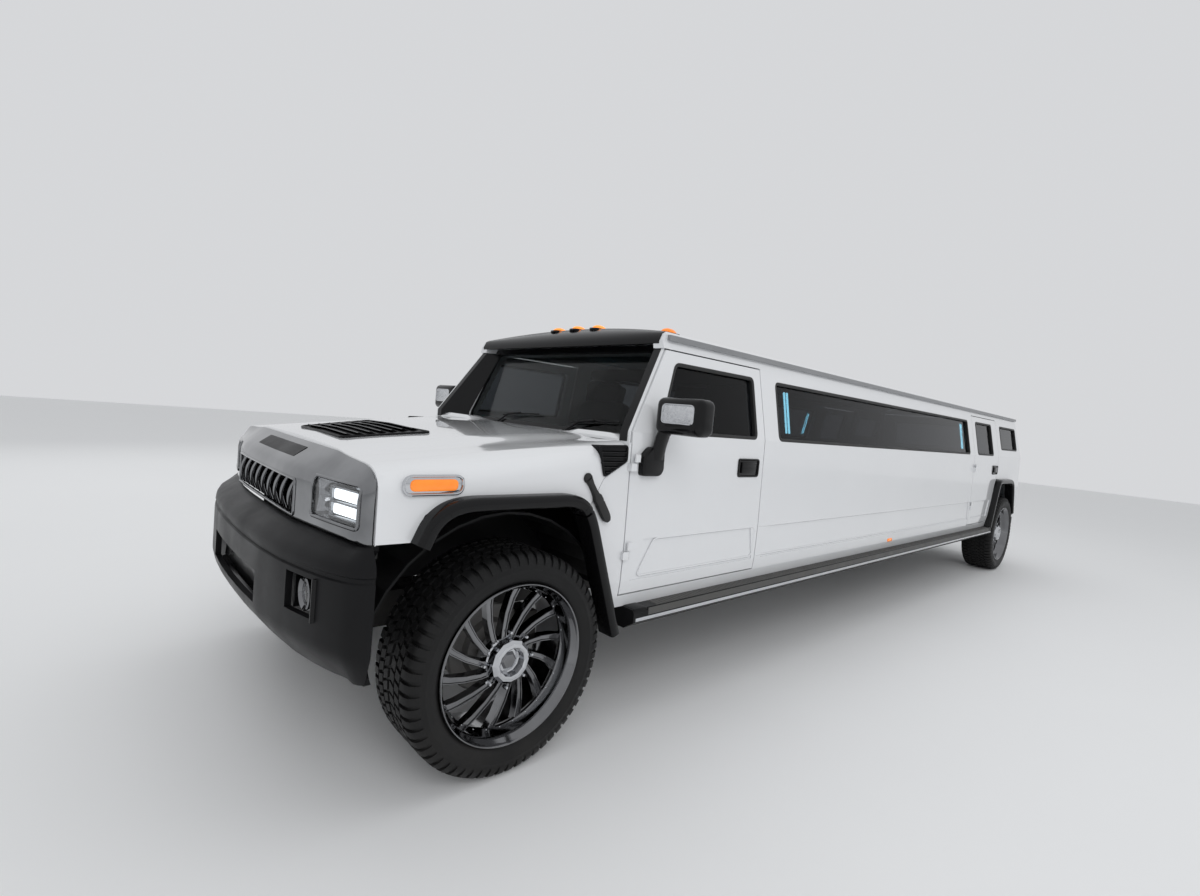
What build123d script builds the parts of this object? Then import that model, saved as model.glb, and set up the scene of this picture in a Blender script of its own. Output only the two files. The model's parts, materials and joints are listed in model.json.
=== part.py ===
from build123d import *
import os
from math import sqrt

# Stretch limousine on a long ladder frame. Millimetres, +X forward, +Y left, +Z up.
# The origin is on the ground, in the middle of the length and the width.

os.makedirs("parts", exist_ok=True)

# Driving dimensions of the whole vehicle
WHEELBASE = 7180.0
FRONT_OVERHANG = 800.0
REAR_OVERHANG = 830.0
LENGTH = FRONT_OVERHANG + WHEELBASE + REAR_OVERHANG
FRONT_AXLE = LENGTH / 2 - FRONT_OVERHANG
REAR_AXLE = FRONT_AXLE - WHEELBASE
SHUT_GAP = 7.0

# Wheels
TYRE_RADIUS = 450.0
TYRE_WIDTH = 320.0
WHEEL_Y = 870.0
RIM_RADIUS = 318.0
RIM_LIP = 14.0
BARREL_WALL = 12.0
SPOKES = 14
HUB_CAP_RADIUS = 92.0
HUB_BORE = 45.0
STUB_CLEARANCE = 0.5
DISC_RADIUS = 185.0
KINGPIN_Y = 700.0
KINGPIN_RADIUS = 14.0

# Body sides: half widths and heights of the skin's breaks
SILL_Y = 955.0
SKIN_Y = 970.0
BELT_Y = 958.0
EAVE_Y = 862.0
SILL_Z = 566.0
LOWER_CREASE_Z = 690.0
UPPER_CREASE_Z = 885.0
BELT_Z = 1395.0
EAVE_Z = 1860.0
ROOF_RISE = 105.0
ROOF_TOP = EAVE_Z + ROOF_RISE
WALL = 70.0
DOOR_THICKNESS = 58.0
PRESSING = 7.0
GLASS = 7.0
GLASS_INSET = 20.0

# Doors and side windows, measured back from the front axle
DOOR_BOTTOM = 628.0
DOOR_TOP = 1812.0
FRONT_DOOR_FRONT = 600.0
FRONT_DOOR_LENGTH = 1122.0
PILLAR_TOP_BACK = 268.0
WINDOW_BOTTOM = 1402.0
WINDOW_TOP = 1752.0
WINDOW_CORNER = 20.0
LONG_WINDOW_FRONT = 1890.0
LONG_WINDOW_END_GAP = 170.0
HINGE_OUT = 10.0
HINGE_IN = 16.0

# Rear doors and quarter windows, measured from the rear axle, forward positive
REAR_DOOR_FRONT = 1240.0
REAR_DOOR_LENGTH = 950.0
QUARTER_FRONT = 130.0
QUARTER_LENGTH = 740.0
QUARTER_BOTTOM = 1480.0

# Nose: hood, lamps, grille and bumper, measured forward from the front axle
HOOD_FRONT = 566.0
HOOD_REAR = -573.0
HOOD_WALL = 26.0
HOOD_FOLD = 16.0
NOSE_SILL_Z = 962.0
GRILLE_FACE = 690.0
GRILLE_BARS = 8
LAMP_Y = 705.0
LAMP_WIDTH = 300.0

# Wheel arches: the flare's outer line, forward of and above its own axle
FLARE_WIDTH = 52.0
FLARE_STAND = 58.0
FLARE_OUT = SKIN_Y + FLARE_STAND
FLARE_IN = SKIN_Y - WALL
ARCH_TOP = 1122.0
LEG_LEAN = 0.37
LINER_WALL = 10.0
FRONT_LINER = 575.0
REAR_LINER = 515.0

# Frame, floor and steps
RAIL_Y = 430.0
RAIL_WIDTH = 80.0
RAIL_HEIGHT = 150.0
RAIL_BOTTOM = 480.0
FLOOR_TOP = RAIL_BOTTOM + RAIL_HEIGHT + 40.0
FLOOR_THICKNESS = 40.0
STEP_OUT = FLARE_OUT + SHUT_GAP
STEP_TOP = SILL_Z
STEP_HEIGHT = 100.0


def front(x):
    """A place measured forward of the front axle."""
    return FRONT_AXLE + x


def rear(x):
    """A place measured forward of the rear axle."""
    return REAR_AXLE + x


def save(solid, name):
    """Label one finished piece and write it."""
    solid.label = name
    export_step(solid, f"parts/{name}.step")


def skin_line(inset):
    """Half section of the body side from sill to eave, moved in by inset."""
    return [
        (SILL_Y - inset, SILL_Z),
        (SKIN_Y - 2 - inset, LOWER_CREASE_Z),
        (SKIN_Y - inset, UPPER_CREASE_Z),
        (BELT_Y - inset, BELT_Z),
        (EAVE_Y - inset, EAVE_Z),
    ]


def side_slab(side, low_x, high_x, inset, thickness):
    """A length of body side between two x planes, thickness deep from inset."""
    outer = skin_line(inset)
    inner = skin_line(inset + thickness)
    ring = [(side * y, z) for y, z in outer + inner[::-1]]
    with BuildPart() as slab:
        with BuildSketch(Plane.YZ.offset(low_x)):
            with BuildLine():
                Polyline(*ring, close=True)
            make_face()
        extrude(amount=high_x - low_x)
    return slab.part


def side_cutter(points, corner=0.0):
    """A prism right across the body from an outline in x and z."""
    with BuildPart() as cutter:
        with BuildSketch(Plane.XZ):
            with BuildLine():
                Polyline(*points, close=True)
            make_face()
            if corner > 0:
                chamfer(vertices(), corner)
        extrude(amount=1400, both=True)
    return cutter.part


def window_outline(back_x, front_x, bottom, top, lean=0.0):
    """Four corners of a side window; its front top corner leans back."""
    return [(front_x, bottom), (front_x - lean, top), (back_x, top), (back_x, bottom)]


def leg_foot(z):
    """How far a flare's leg stands from its axle at height z."""
    return 362 + (1048 - z) * LEG_LEAN


def flare_line(axle, foot_z=470.0):
    """Outer line of a front wheel's flare, from its front foot to its rear foot."""
    return [
        (axle + 445, NOSE_SILL_Z),
        (axle + 400, 1062),
        (axle + 300, ARCH_TOP),
        (axle - 275, ARCH_TOP),
        (axle - 362, 1048),
        (axle - leg_foot(foot_z), foot_z),
    ]


def rear_flare_line(axle, front_foot, rear_foot):
    """Outer line of a rear wheel's flare, with a leg on both sides."""
    return [
        (axle + leg_foot(front_foot), front_foot),
        (axle + 362, 1048),
        (axle + 300, ARCH_TOP),
        (axle - 275, ARCH_TOP),
        (axle - 362, 1048),
        (axle - leg_foot(rear_foot), rear_foot),
    ]


# Doors: hinge line, outline and glass for each corner
def front_door_outline(grow, reach):
    """Front door edge; grow widens it for its opening, reach is past the lock edge."""
    front_x = front(-FRONT_DOOR_FRONT) + grow
    lean = PILLAR_TOP_BACK
    return [
        (front_x, DOOR_BOTTOM - grow),
        (front_x, BELT_Z + grow * 0.3),
        (front_x - lean, DOOR_TOP + grow),
        (front_x - FRONT_DOOR_LENGTH - reach, DOOR_TOP + grow),
        (front_x - FRONT_DOOR_LENGTH - reach, DOOR_BOTTOM - grow),
    ]


def rear_door_outline(grow, reach):
    """Rear door edge, with its lower rear corner cut away for the wheel arch."""
    front_x = rear(REAR_DOOR_FRONT) + grow
    arch_clear = 26 - grow * 1.5
    return [
        (front_x, DOOR_BOTTOM - grow),
        (front_x, DOOR_TOP + grow),
        (front_x - REAR_DOOR_LENGTH - reach, DOOR_TOP + grow),
        (front_x - REAR_DOOR_LENGTH - reach, ARCH_TOP + arch_clear),
        (rear(300) + arch_clear * 0.4, ARCH_TOP + arch_clear),
        (rear(362) + arch_clear, 1048 + arch_clear * 0.4),
        (rear(leg_foot(DOOR_BOTTOM)) + arch_clear, DOOR_BOTTOM - grow),
    ]


HINGE_Y = SKIN_Y + HINGE_OUT
HINGE_RADIUS = 8.0
HINGE_HEIGHT = 36.0
HINGE_GAP = 6.0
HINGE_HEIGHTS = (800.0, 1215.0)

# Paddle handles in their pockets
HANDLE_LENGTH = 205.0
HANDLE_HEIGHT = 100.0
HANDLE_DEPTH = 20.0
HANDLE_Y = BELT_Y + 3
HANDLE_Z = 1232.0
FRONT_HANDLE_X = front(-1570)
REAR_HANDLE_X = rear(400)

# Hinge lines and the doors' swing
FRONT_HINGE_X = front(-FRONT_DOOR_FRONT) - HINGE_IN
REAR_HINGE_X = rear(REAR_DOOR_FRONT) - HINGE_IN
FRONT_SWING = FRONT_DOOR_LENGTH - HINGE_IN
REAR_SWING = REAR_DOOR_LENGTH - HINGE_IN


def swing_cylinder(side, x, radius):
    """The round path of a door's lock edge about its hinge line."""
    with BuildPart() as path:
        with Locations((x, side * HINGE_Y, EAVE_Z / 2)):
            Cylinder(radius=radius, height=EAVE_Z * 2)
    return path.part


def door_opening(side, outline, x, swing):
    """The space in the body side that a door and its gap fill."""
    with BuildPart() as opening:
        add(side_cutter(outline(SHUT_GAP, 200)))
        add(swing_cylinder(side, x, swing + SHUT_GAP), mode=Mode.INTERSECT)
    return opening.part


def hinge_half(side, x, low_z, outline):
    """One barrel of an outside hinge with its leaf, from an outline about the hinge line."""
    with BuildPart() as half:
        with BuildSketch(Plane.XY.offset(low_z)):
            with Locations((x, side * HINGE_Y)):
                RegularPolygon(HINGE_RADIUS, 8)
            Polygon(*[(x + a, side * (HINGE_Y + b)) for a, b in outline], align=None)
        extrude(amount=HINGE_HEIGHT)
    return half.part


def wall_hinges(side, x):
    """The wall's halves of a door's two hinges; their leaves stand clear of the door."""
    leaf = [(0, 8), (36, 8), (36, -25), (25, -25), (25, -4), (0, -4)]
    with BuildPart() as halves:
        for z in HINGE_HEIGHTS:
            add(hinge_half(side, x, z, leaf))
    return halves.part


def door_hinges(side, x):
    """The door's halves of its two hinges, above the wall's."""
    leaf = [(0, 8), (-20, 8), (-20, -25), (-9, -25), (-9, -4), (0, -4)]
    with BuildPart() as halves:
        for z in HINGE_HEIGHTS:
            add(hinge_half(side, x, z + HINGE_HEIGHT + HINGE_GAP, leaf))
    return halves.part


def door_shell(side, outline, x, swing, window, pressing, handle_x):
    """One door, as thick as the real one, with its window cut."""
    points = outline(0, 200)
    low_x = min(point[0] for point in points)
    high_x = max(point[0] for point in points)
    with BuildPart() as door:
        add(side_slab(side, low_x, high_x, 0, DOOR_THICKNESS))
        add(side_cutter(points), mode=Mode.INTERSECT)
        add(swing_cylinder(side, x, swing), mode=Mode.INTERSECT)
        add(side_cutter(window, WINDOW_CORNER), mode=Mode.SUBTRACT)
        with BuildSketch(Plane.XZ.offset(-side * (SKIN_Y - PRESSING))):
            with BuildLine():
                Polyline(*pressing, close=True)
            make_face()
        extrude(amount=-side * 60, mode=Mode.SUBTRACT)
        with Locations((handle_x, side * HANDLE_Y, HANDLE_Z)):
            Box(HANDLE_LENGTH, 2 * HANDLE_DEPTH, HANDLE_HEIGHT, mode=Mode.SUBTRACT)
        with Locations((handle_x, side * (HANDLE_Y - HANDLE_DEPTH / 2 - 2), HANDLE_Z)):
            Box(HANDLE_LENGTH - 70, HANDLE_DEPTH + 2, HANDLE_HEIGHT - 44)
        add(door_hinges(side, x))
    return door.part


def pane(side, window):
    """A flat pane that fills a side window, set in from the skin."""
    low_x = min(point[0] for point in window)
    high_x = max(point[0] for point in window)
    with BuildPart() as glass:
        add(side_slab(side, low_x, high_x, GLASS_INSET, GLASS))
        add(side_cutter(window, WINDOW_CORNER), mode=Mode.INTERSECT)
    return glass.part


def pressing_outline(low_x, high_x):
    """The shallow pressed field between the two creases of a side panel."""
    return [
        (high_x - 60, LOWER_CREASE_Z),
        (high_x - 130, UPPER_CREASE_Z),
        (low_x + 70, UPPER_CREASE_Z),
        (low_x + 30, LOWER_CREASE_Z),
    ]


FRONT_WINDOW = window_outline(
    front(-1640), front(-FRONT_DOOR_FRONT - 188), WINDOW_BOTTOM, WINDOW_TOP, 150
)
REAR_WINDOW = window_outline(
    rear(REAR_DOOR_FRONT - 735), rear(REAR_DOOR_FRONT - 120), WINDOW_BOTTOM, WINDOW_TOP
)
QUARTER_WINDOW = window_outline(
    rear(QUARTER_FRONT - QUARTER_LENGTH), rear(QUARTER_FRONT), QUARTER_BOTTOM, WINDOW_TOP
)
LONG_WINDOW = window_outline(
    rear(REAR_DOOR_FRONT + LONG_WINDOW_END_GAP), front(-LONG_WINDOW_FRONT), WINDOW_BOTTOM, WINDOW_TOP
)
FRONT_DOOR_BACK = front(-FRONT_DOOR_FRONT - FRONT_DOOR_LENGTH)
TAIL_TOP = rear(-690)
TAIL_BELT = rear(-780)
TAIL_LOW = rear(-790)
TAIL_FOOT_Z = 760.0
GATE_TOP_Z = 1850.0
GATE_Y = 770.0
GATE_THICKNESS = 60.0
BUMPER_WING = -500.0
BUMPER_DEPTH = 150.0

SIDES = (("left", 1), ("right", -1))

for word, side in SIDES:
    # Body side: cowl panel, sill, pillars, long coach panel and rear quarter in one wall
    with BuildPart() as wall:
        add(side_slab(side, rear(-REAR_OVERHANG + 20), front(-340), 0, WALL))
        nose_edge = [
            (front(600), 400),
            (front(-585), 400),
            (front(-leg_foot(470)), 470),
            (front(-362), 1048),
            (front(-362 - SHUT_GAP), 1058),
            (front(-430 - SHUT_GAP), 1178),
            (front(HOOD_REAR - SHUT_GAP), 1256),
            (front(HOOD_REAR - SHUT_GAP), 1345),
            (front(-594), 1345),
            (front(-594 - PILLAR_TOP_BACK), DOOR_TOP + SHUT_GAP),
            (front(-850), DOOR_TOP + SHUT_GAP),
            (front(-850), 2000),
            (front(600), 2000),
        ]
        add(side_cutter(nose_edge), mode=Mode.SUBTRACT)
        add(door_opening(side, front_door_outline, FRONT_HINGE_X, FRONT_SWING), mode=Mode.SUBTRACT)
        add(door_opening(side, rear_door_outline, REAR_HINGE_X, REAR_SWING), mode=Mode.SUBTRACT)
        add(side_cutter(rear_flare_line(REAR_AXLE, 400, 400)), mode=Mode.SUBTRACT)
        add(side_cutter(LONG_WINDOW, WINDOW_CORNER), mode=Mode.SUBTRACT)
        add(side_cutter(QUARTER_WINDOW, WINDOW_CORNER), mode=Mode.SUBTRACT)
        tail_edge = [
            (rear(BUMPER_WING), 400),
            (rear(BUMPER_WING), TAIL_FOOT_Z),
            (TAIL_LOW, TAIL_FOOT_Z),
            (TAIL_BELT, BELT_Z),
            (TAIL_TOP, EAVE_Z + 10),
            (rear(-1200), EAVE_Z + 10),
            (rear(-1200), 400),
        ]
        add(side_cutter(tail_edge), mode=Mode.SUBTRACT)
        with BuildSketch(Plane.XZ.offset(-side * (SKIN_Y - PRESSING))):
            with BuildLine():
                Polyline(
                    *pressing_outline(rear(REAR_DOOR_FRONT + SHUT_GAP), FRONT_DOOR_BACK - SHUT_GAP),
                    close=True,
                )
            make_face()
        extrude(amount=-side * 60, mode=Mode.SUBTRACT)
        add(wall_hinges(side, FRONT_HINGE_X))
        add(wall_hinges(side, REAR_HINGE_X))
    save(wall.part, f"side_wall_{word}")

    # Front and rear doors with their panes
    front_low = FRONT_DOOR_BACK
    front_high = front(-FRONT_DOOR_FRONT)
    save(
        door_shell(
            side, front_door_outline, FRONT_HINGE_X, FRONT_SWING, FRONT_WINDOW,
            pressing_outline(front_low, front_high), FRONT_HANDLE_X,
        ),
        f"front_door_{word}",
    )
    save(pane(side, FRONT_WINDOW), f"front_door_glass_{word}")
    rear_pressing = [
        (rear(REAR_DOOR_FRONT - 60), LOWER_CREASE_Z),
        (rear(REAR_DOOR_FRONT - 130), UPPER_CREASE_Z),
        (rear(500), UPPER_CREASE_Z),
        (rear(575), LOWER_CREASE_Z),
    ]
    save(
        door_shell(
            side, rear_door_outline, REAR_HINGE_X, REAR_SWING, REAR_WINDOW, rear_pressing,
            REAR_HANDLE_X,
        ),
        f"rear_door_{word}",
    )
    save(pane(side, REAR_WINDOW), f"rear_door_glass_{word}")

# Fixed panes of the long windows and the quarter windows
with BuildPart() as side_glass:
    for word, side in SIDES:
        add(pane(side, LONG_WINDOW))
        add(pane(side, QUARTER_WINDOW))
save(side_glass.part, "side_glass")

# Door mirrors: a foot on the door, an arm up to the head, and a square head outboard
MIRROR_X = front(-742)
MIRROR_Z = 1500.0
MIRROR_WIDTH = 286.0
MIRROR_HEIGHT = 200.0
MIRROR_DEPTH = 110.0
MIRROR_CORNER = 26.0
MIRROR_GAP = 6.0
MIRROR_ARM = [
    (-640, 1190), (-760, 1190), (-768, 1300), (-762, 1425), (-706, 1425), (-660, 1300), (-640, 1280)
]
for word, side in SIDES:
    with BuildPart() as mirror_unit:
        with BuildSketch(Plane.XZ.offset(-side * (SKIN_Y - WALL))):
            Polygon(*[(front(x), z) for x, z in MIRROR_ARM], align=None)
        extrude(amount=-side * (WALL + 50))
        add(side_slab(side, front(-800), front(-600), 0, 2 * WALL), mode=Mode.SUBTRACT)
        with BuildSketch(Plane.YZ.offset(MIRROR_X - MIRROR_DEPTH / 2)):
            with Locations((side * (SKIN_Y + MIRROR_GAP + MIRROR_WIDTH / 2), MIRROR_Z)):
                Rectangle(MIRROR_WIDTH, MIRROR_HEIGHT)
            chamfer(vertices(), MIRROR_CORNER)
        extrude(amount=MIRROR_DEPTH)
    save(mirror_unit.part, f"mirror_{word}")

# Roof skin on the eaves
ROOF_SHOULDER_Y = EAVE_Y - 16
ROOF_SHOULDER_Z = EAVE_Z + 46
ROOF_WALL = 34.0
ROOF_FRONT = front(-850)
ROOF_BACK = TAIL_TOP
ROOF_INNER_Y = ROOF_SHOULDER_Y - 60
ROOF_INNER_Z = ROOF_SHOULDER_Z - ROOF_WALL


def roof_underside():
    """The inner arc of the roof, from left to right; call it inside a BuildLine."""
    ThreePointArc(
        (ROOF_INNER_Y, ROOF_INNER_Z), (0, ROOF_TOP - ROOF_WALL), (-ROOF_INNER_Y, ROOF_INNER_Z)
    )


with BuildPart() as roof_panel:
    with BuildSketch(Plane.YZ.offset(ROOF_BACK)):
        with BuildLine():
            Polyline(
                (ROOF_SHOULDER_Y, ROOF_SHOULDER_Z),
                (EAVE_Y, EAVE_Z + 32),
                (EAVE_Y, EAVE_Z),
                (EAVE_Y - WALL, EAVE_Z),
                (ROOF_INNER_Y, ROOF_INNER_Z),
            )
            roof_underside()
            Polyline(
                (-ROOF_INNER_Y, ROOF_INNER_Z),
                (-EAVE_Y + WALL, EAVE_Z),
                (-EAVE_Y, EAVE_Z),
                (-EAVE_Y, EAVE_Z + 32),
                (-ROOF_SHOULDER_Y, ROOF_SHOULDER_Z),
            )
            ThreePointArc(
                (-ROOF_SHOULDER_Y, ROOF_SHOULDER_Z), (0, ROOF_TOP), (ROOF_SHOULDER_Y, ROOF_SHOULDER_Z)
            )
        make_face()
    extrude(amount=ROOF_FRONT - ROOF_BACK)
    roof_side = [
        (ROOF_FRONT, EAVE_Z - 5),
        (ROOF_FRONT - 18, EAVE_Z + 35),
        (ROOF_FRONT - 135, ROOF_TOP + 5),
        (ROOF_BACK + 90, ROOF_TOP + 5),
        (ROOF_BACK + 5, EAVE_Z + 40),
        (ROOF_BACK, EAVE_Z - 5),
    ]
    add(side_cutter(roof_side), mode=Mode.INTERSECT)
save(roof_panel.part, "roof_panel")

RAIL_SIDE = 18.0
with BuildPart() as drip_rails:
    for word, side in SIDES:
        with Locations(
            ((ROOF_FRONT + ROOF_BACK) / 2, side * (EAVE_Y + RAIL_SIDE / 2), EAVE_Z + 15)
        ):
            Box(ROOF_FRONT - ROOF_BACK - 60, RAIL_SIDE, 28)
save(drip_rails.part, "drip_rails")

# Marker lamps on the roof's front edge
ROOF_LAMPS = (-745.0, -190.0, 0.0, 190.0, 745.0)
ROOF_LAMP_LENGTH = 110.0
ROOF_LAMP_WIDTH = 136.0
ROOF_LAMP_STAND = 34.0
ROOF_FALL = 0.072
with BuildPart() as roof_lamps:
    for y in ROOF_LAMPS:
        lamp_top = ROOF_TOP + ROOF_LAMP_STAND - abs(y) * ROOF_FALL
        with BuildSketch(Plane.XY.offset(lamp_top - 2 * ROOF_LAMP_STAND)):
            with Locations((ROOF_FRONT - 165, y)):
                Rectangle(ROOF_LAMP_LENGTH, ROOF_LAMP_WIDTH)
            chamfer(vertices(), 30)
        extrude(amount=2 * ROOF_LAMP_STAND, taper=12)
    with BuildSketch(Plane.YZ.offset(ROOF_BACK)):
        with BuildLine():
            ThreePointArc(
                (-ROOF_SHOULDER_Y, ROOF_SHOULDER_Z), (0, ROOF_TOP), (ROOF_SHOULDER_Y, ROOF_SHOULDER_Z)
            )
            Polyline(
                (ROOF_SHOULDER_Y, ROOF_SHOULDER_Z),
                (ROOF_SHOULDER_Y, 1700),
                (-ROOF_SHOULDER_Y, 1700),
                (-ROOF_SHOULDER_Y, ROOF_SHOULDER_Z),
            )
        make_face()
    extrude(amount=ROOF_FRONT - ROOF_BACK, mode=Mode.SUBTRACT)
save(roof_lamps.part, "roof_lamps")

# Windscreen frame: pillars, header and lower rail round the glass
COWL_TOP = 1345.0
SCREEN_FOOT = (front(-752), COWL_TOP + 3)
SCREEN_HEAD = (front(-945), EAVE_Z - 8)
SCREEN_RUN = (SCREEN_HEAD[0] - SCREEN_FOOT[0], SCREEN_HEAD[1] - SCREEN_FOOT[1])
SCREEN_HEIGHT = sqrt(SCREEN_RUN[0] ** 2 + SCREEN_RUN[1] ** 2)
SCREEN_PLANE = Plane(
    origin=(SCREEN_FOOT[0], 0, SCREEN_FOOT[1]),
    x_dir=(0, 1, 0),
    z_dir=(SCREEN_RUN[1] / SCREEN_HEIGHT, 0, -SCREEN_RUN[0] / SCREEN_HEIGHT),
)
SCREEN_DEPTH = 52.0
SCREEN_GLASS = [(-808, 26), (808, 26), (748, SCREEN_HEIGHT - 40), (-748, SCREEN_HEIGHT - 40)]
PILLAR_FOOT = [
    (-752, 800), (-586, 890), (-586, 950), (-593, 950), (-593, 893), (-800, 893), (-800, 800)
]
PILLAR_HEAD = [
    (-936, 742), (-858, 804), (-858, 862), (-865, 862), (-865, 807), (-985, 807), (-985, 742)
]


with BuildPart() as windscreen_frame:
    with BuildSketch(SCREEN_PLANE):
        with BuildLine():
            Polyline(
                (-850, 0), (850, 0), (790, SCREEN_HEIGHT - 4), (-790, SCREEN_HEIGHT - 4), close=True
            )
        make_face()
    extrude(amount=-SCREEN_DEPTH)
    for word, side in SIDES:
        with BuildSketch(
            Plane.XY.offset(COWL_TOP), Plane.XY.offset(BELT_Z)
        ):
            with BuildLine():
                Polyline(*[(front(x), side * y) for x, y in PILLAR_FOOT], close=True)
            make_face()
        with BuildSketch(Plane.XY.offset(DOOR_TOP + SHUT_GAP)):
            with BuildLine():
                Polyline(*[(front(x), side * y) for x, y in PILLAR_HEAD], close=True)
            make_face()
        loft(ruled=True)
    with BuildSketch(Plane.YZ.offset(ROOF_FRONT - 165)):
        with BuildLine():
            roof_underside()
            Polyline(
                (-ROOF_INNER_Y, ROOF_INNER_Z),
                (-ROOF_INNER_Y, EAVE_Z - 30),
                (ROOF_INNER_Y, EAVE_Z - 30),
                (ROOF_INNER_Y, ROOF_INNER_Z),
            )
        make_face()
    extrude(amount=40)
    with BuildSketch(SCREEN_PLANE):
        Polygon(*SCREEN_GLASS, align=None)
        chamfer(vertices(), 26)
    extrude(amount=-2 * SCREEN_DEPTH, both=True, mode=Mode.SUBTRACT)
    with Locations((SCREEN_FOOT[0], 0, COWL_TOP - 50)):
        Box(400, 2000, 100, mode=Mode.SUBTRACT)
save(windscreen_frame.part, "windscreen_frame")

with BuildPart() as windscreen:
    with BuildSketch(SCREEN_PLANE.offset(-14)):
        Polygon(*SCREEN_GLASS, align=None)
        chamfer(vertices(), 26)
    extrude(amount=-GLASS)
save(windscreen.part, "windscreen")

# Firewall and cowl between the hood and the cab
FIREWALL = front(-606)
FIREWALL_WALL = 40.0
FIREWALL_Y = SILL_Y - WALL
with BuildPart() as cowl:
    with BuildSketch(Plane.XZ):
        with BuildLine():
            Polyline(
                (front(HOOD_REAR - 9), COWL_TOP),
                (front(HOOD_REAR - 9), COWL_TOP - 33),
                (FIREWALL, COWL_TOP - 55),
                (FIREWALL, FLOOR_TOP - FLOOR_THICKNESS),
                (FIREWALL - FIREWALL_WALL, FLOOR_TOP - FLOOR_THICKNESS),
                (FIREWALL - FIREWALL_WALL, COWL_TOP - 55),
                (front(-800), COWL_TOP - 33),
                (front(-800), COWL_TOP),
                close=True,
            )
        make_face()
    extrude(amount=FIREWALL_Y, both=True)
save(cowl.part, "cowl")

# Floor on the frame, cut for the rear wheelhouses
CAB_FRONT = FIREWALL - FIREWALL_WALL
CAB_BACK = rear(-REAR_OVERHANG + BUMPER_DEPTH)
LINER_IN_REAR = 545.0
LINER_IN_FRONT = 480.0
LINER_OUT = 880.0
LINER_FACETS = 32
with BuildPart() as floor_pan:
    with Locations(((CAB_FRONT + CAB_BACK) / 2, 0, FLOOR_TOP - FLOOR_THICKNESS / 2)):
        Box(CAB_FRONT - CAB_BACK, 2 * FIREWALL_Y, FLOOR_THICKNESS)
    for word, side in SIDES:
        with BuildSketch(Plane.XZ.offset(-side * LINER_IN_REAR)):
            with Locations((REAR_AXLE, TYRE_RADIUS)):
                RegularPolygon(REAR_LINER + LINER_WALL, LINER_FACETS)
        extrude(amount=-side * 500, mode=Mode.SUBTRACT)
save(floor_pan.part, "floor_pan")

# Inner arches: a curved liner over each wheel with its inner wall
LINERS = (
    # axle, radius, inner edge, lowest point
    (FRONT_AXLE, FRONT_LINER, LINER_IN_FRONT, 690.0),
    (REAR_AXLE, REAR_LINER, LINER_IN_REAR, FLOOR_TOP - FLOOR_THICKNESS),
)
with BuildPart() as arch_liners:
    for axle, radius, inner_y, low_z in LINERS:
        for word, side in SIDES:
            with BuildPart(mode=Mode.PRIVATE) as liner:
                with BuildSketch(Plane.XZ.offset(-side * inner_y)):
                    with Locations((axle, TYRE_RADIUS)):
                        RegularPolygon(radius + LINER_WALL, LINER_FACETS)
                extrude(amount=-side * (LINER_OUT - inner_y))
                with BuildSketch(Plane.XZ.offset(-side * (inner_y + LINER_WALL))):
                    with Locations((axle, TYRE_RADIUS)):
                        RegularPolygon(radius, LINER_FACETS)
                extrude(amount=-side * 600, mode=Mode.SUBTRACT)
                with Locations((axle, side * 700, low_z - 500)):
                    Box(1400, 600, 1000, mode=Mode.SUBTRACT)
            add(liner.part)
save(arch_liners.part, "arch_liners")

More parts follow.
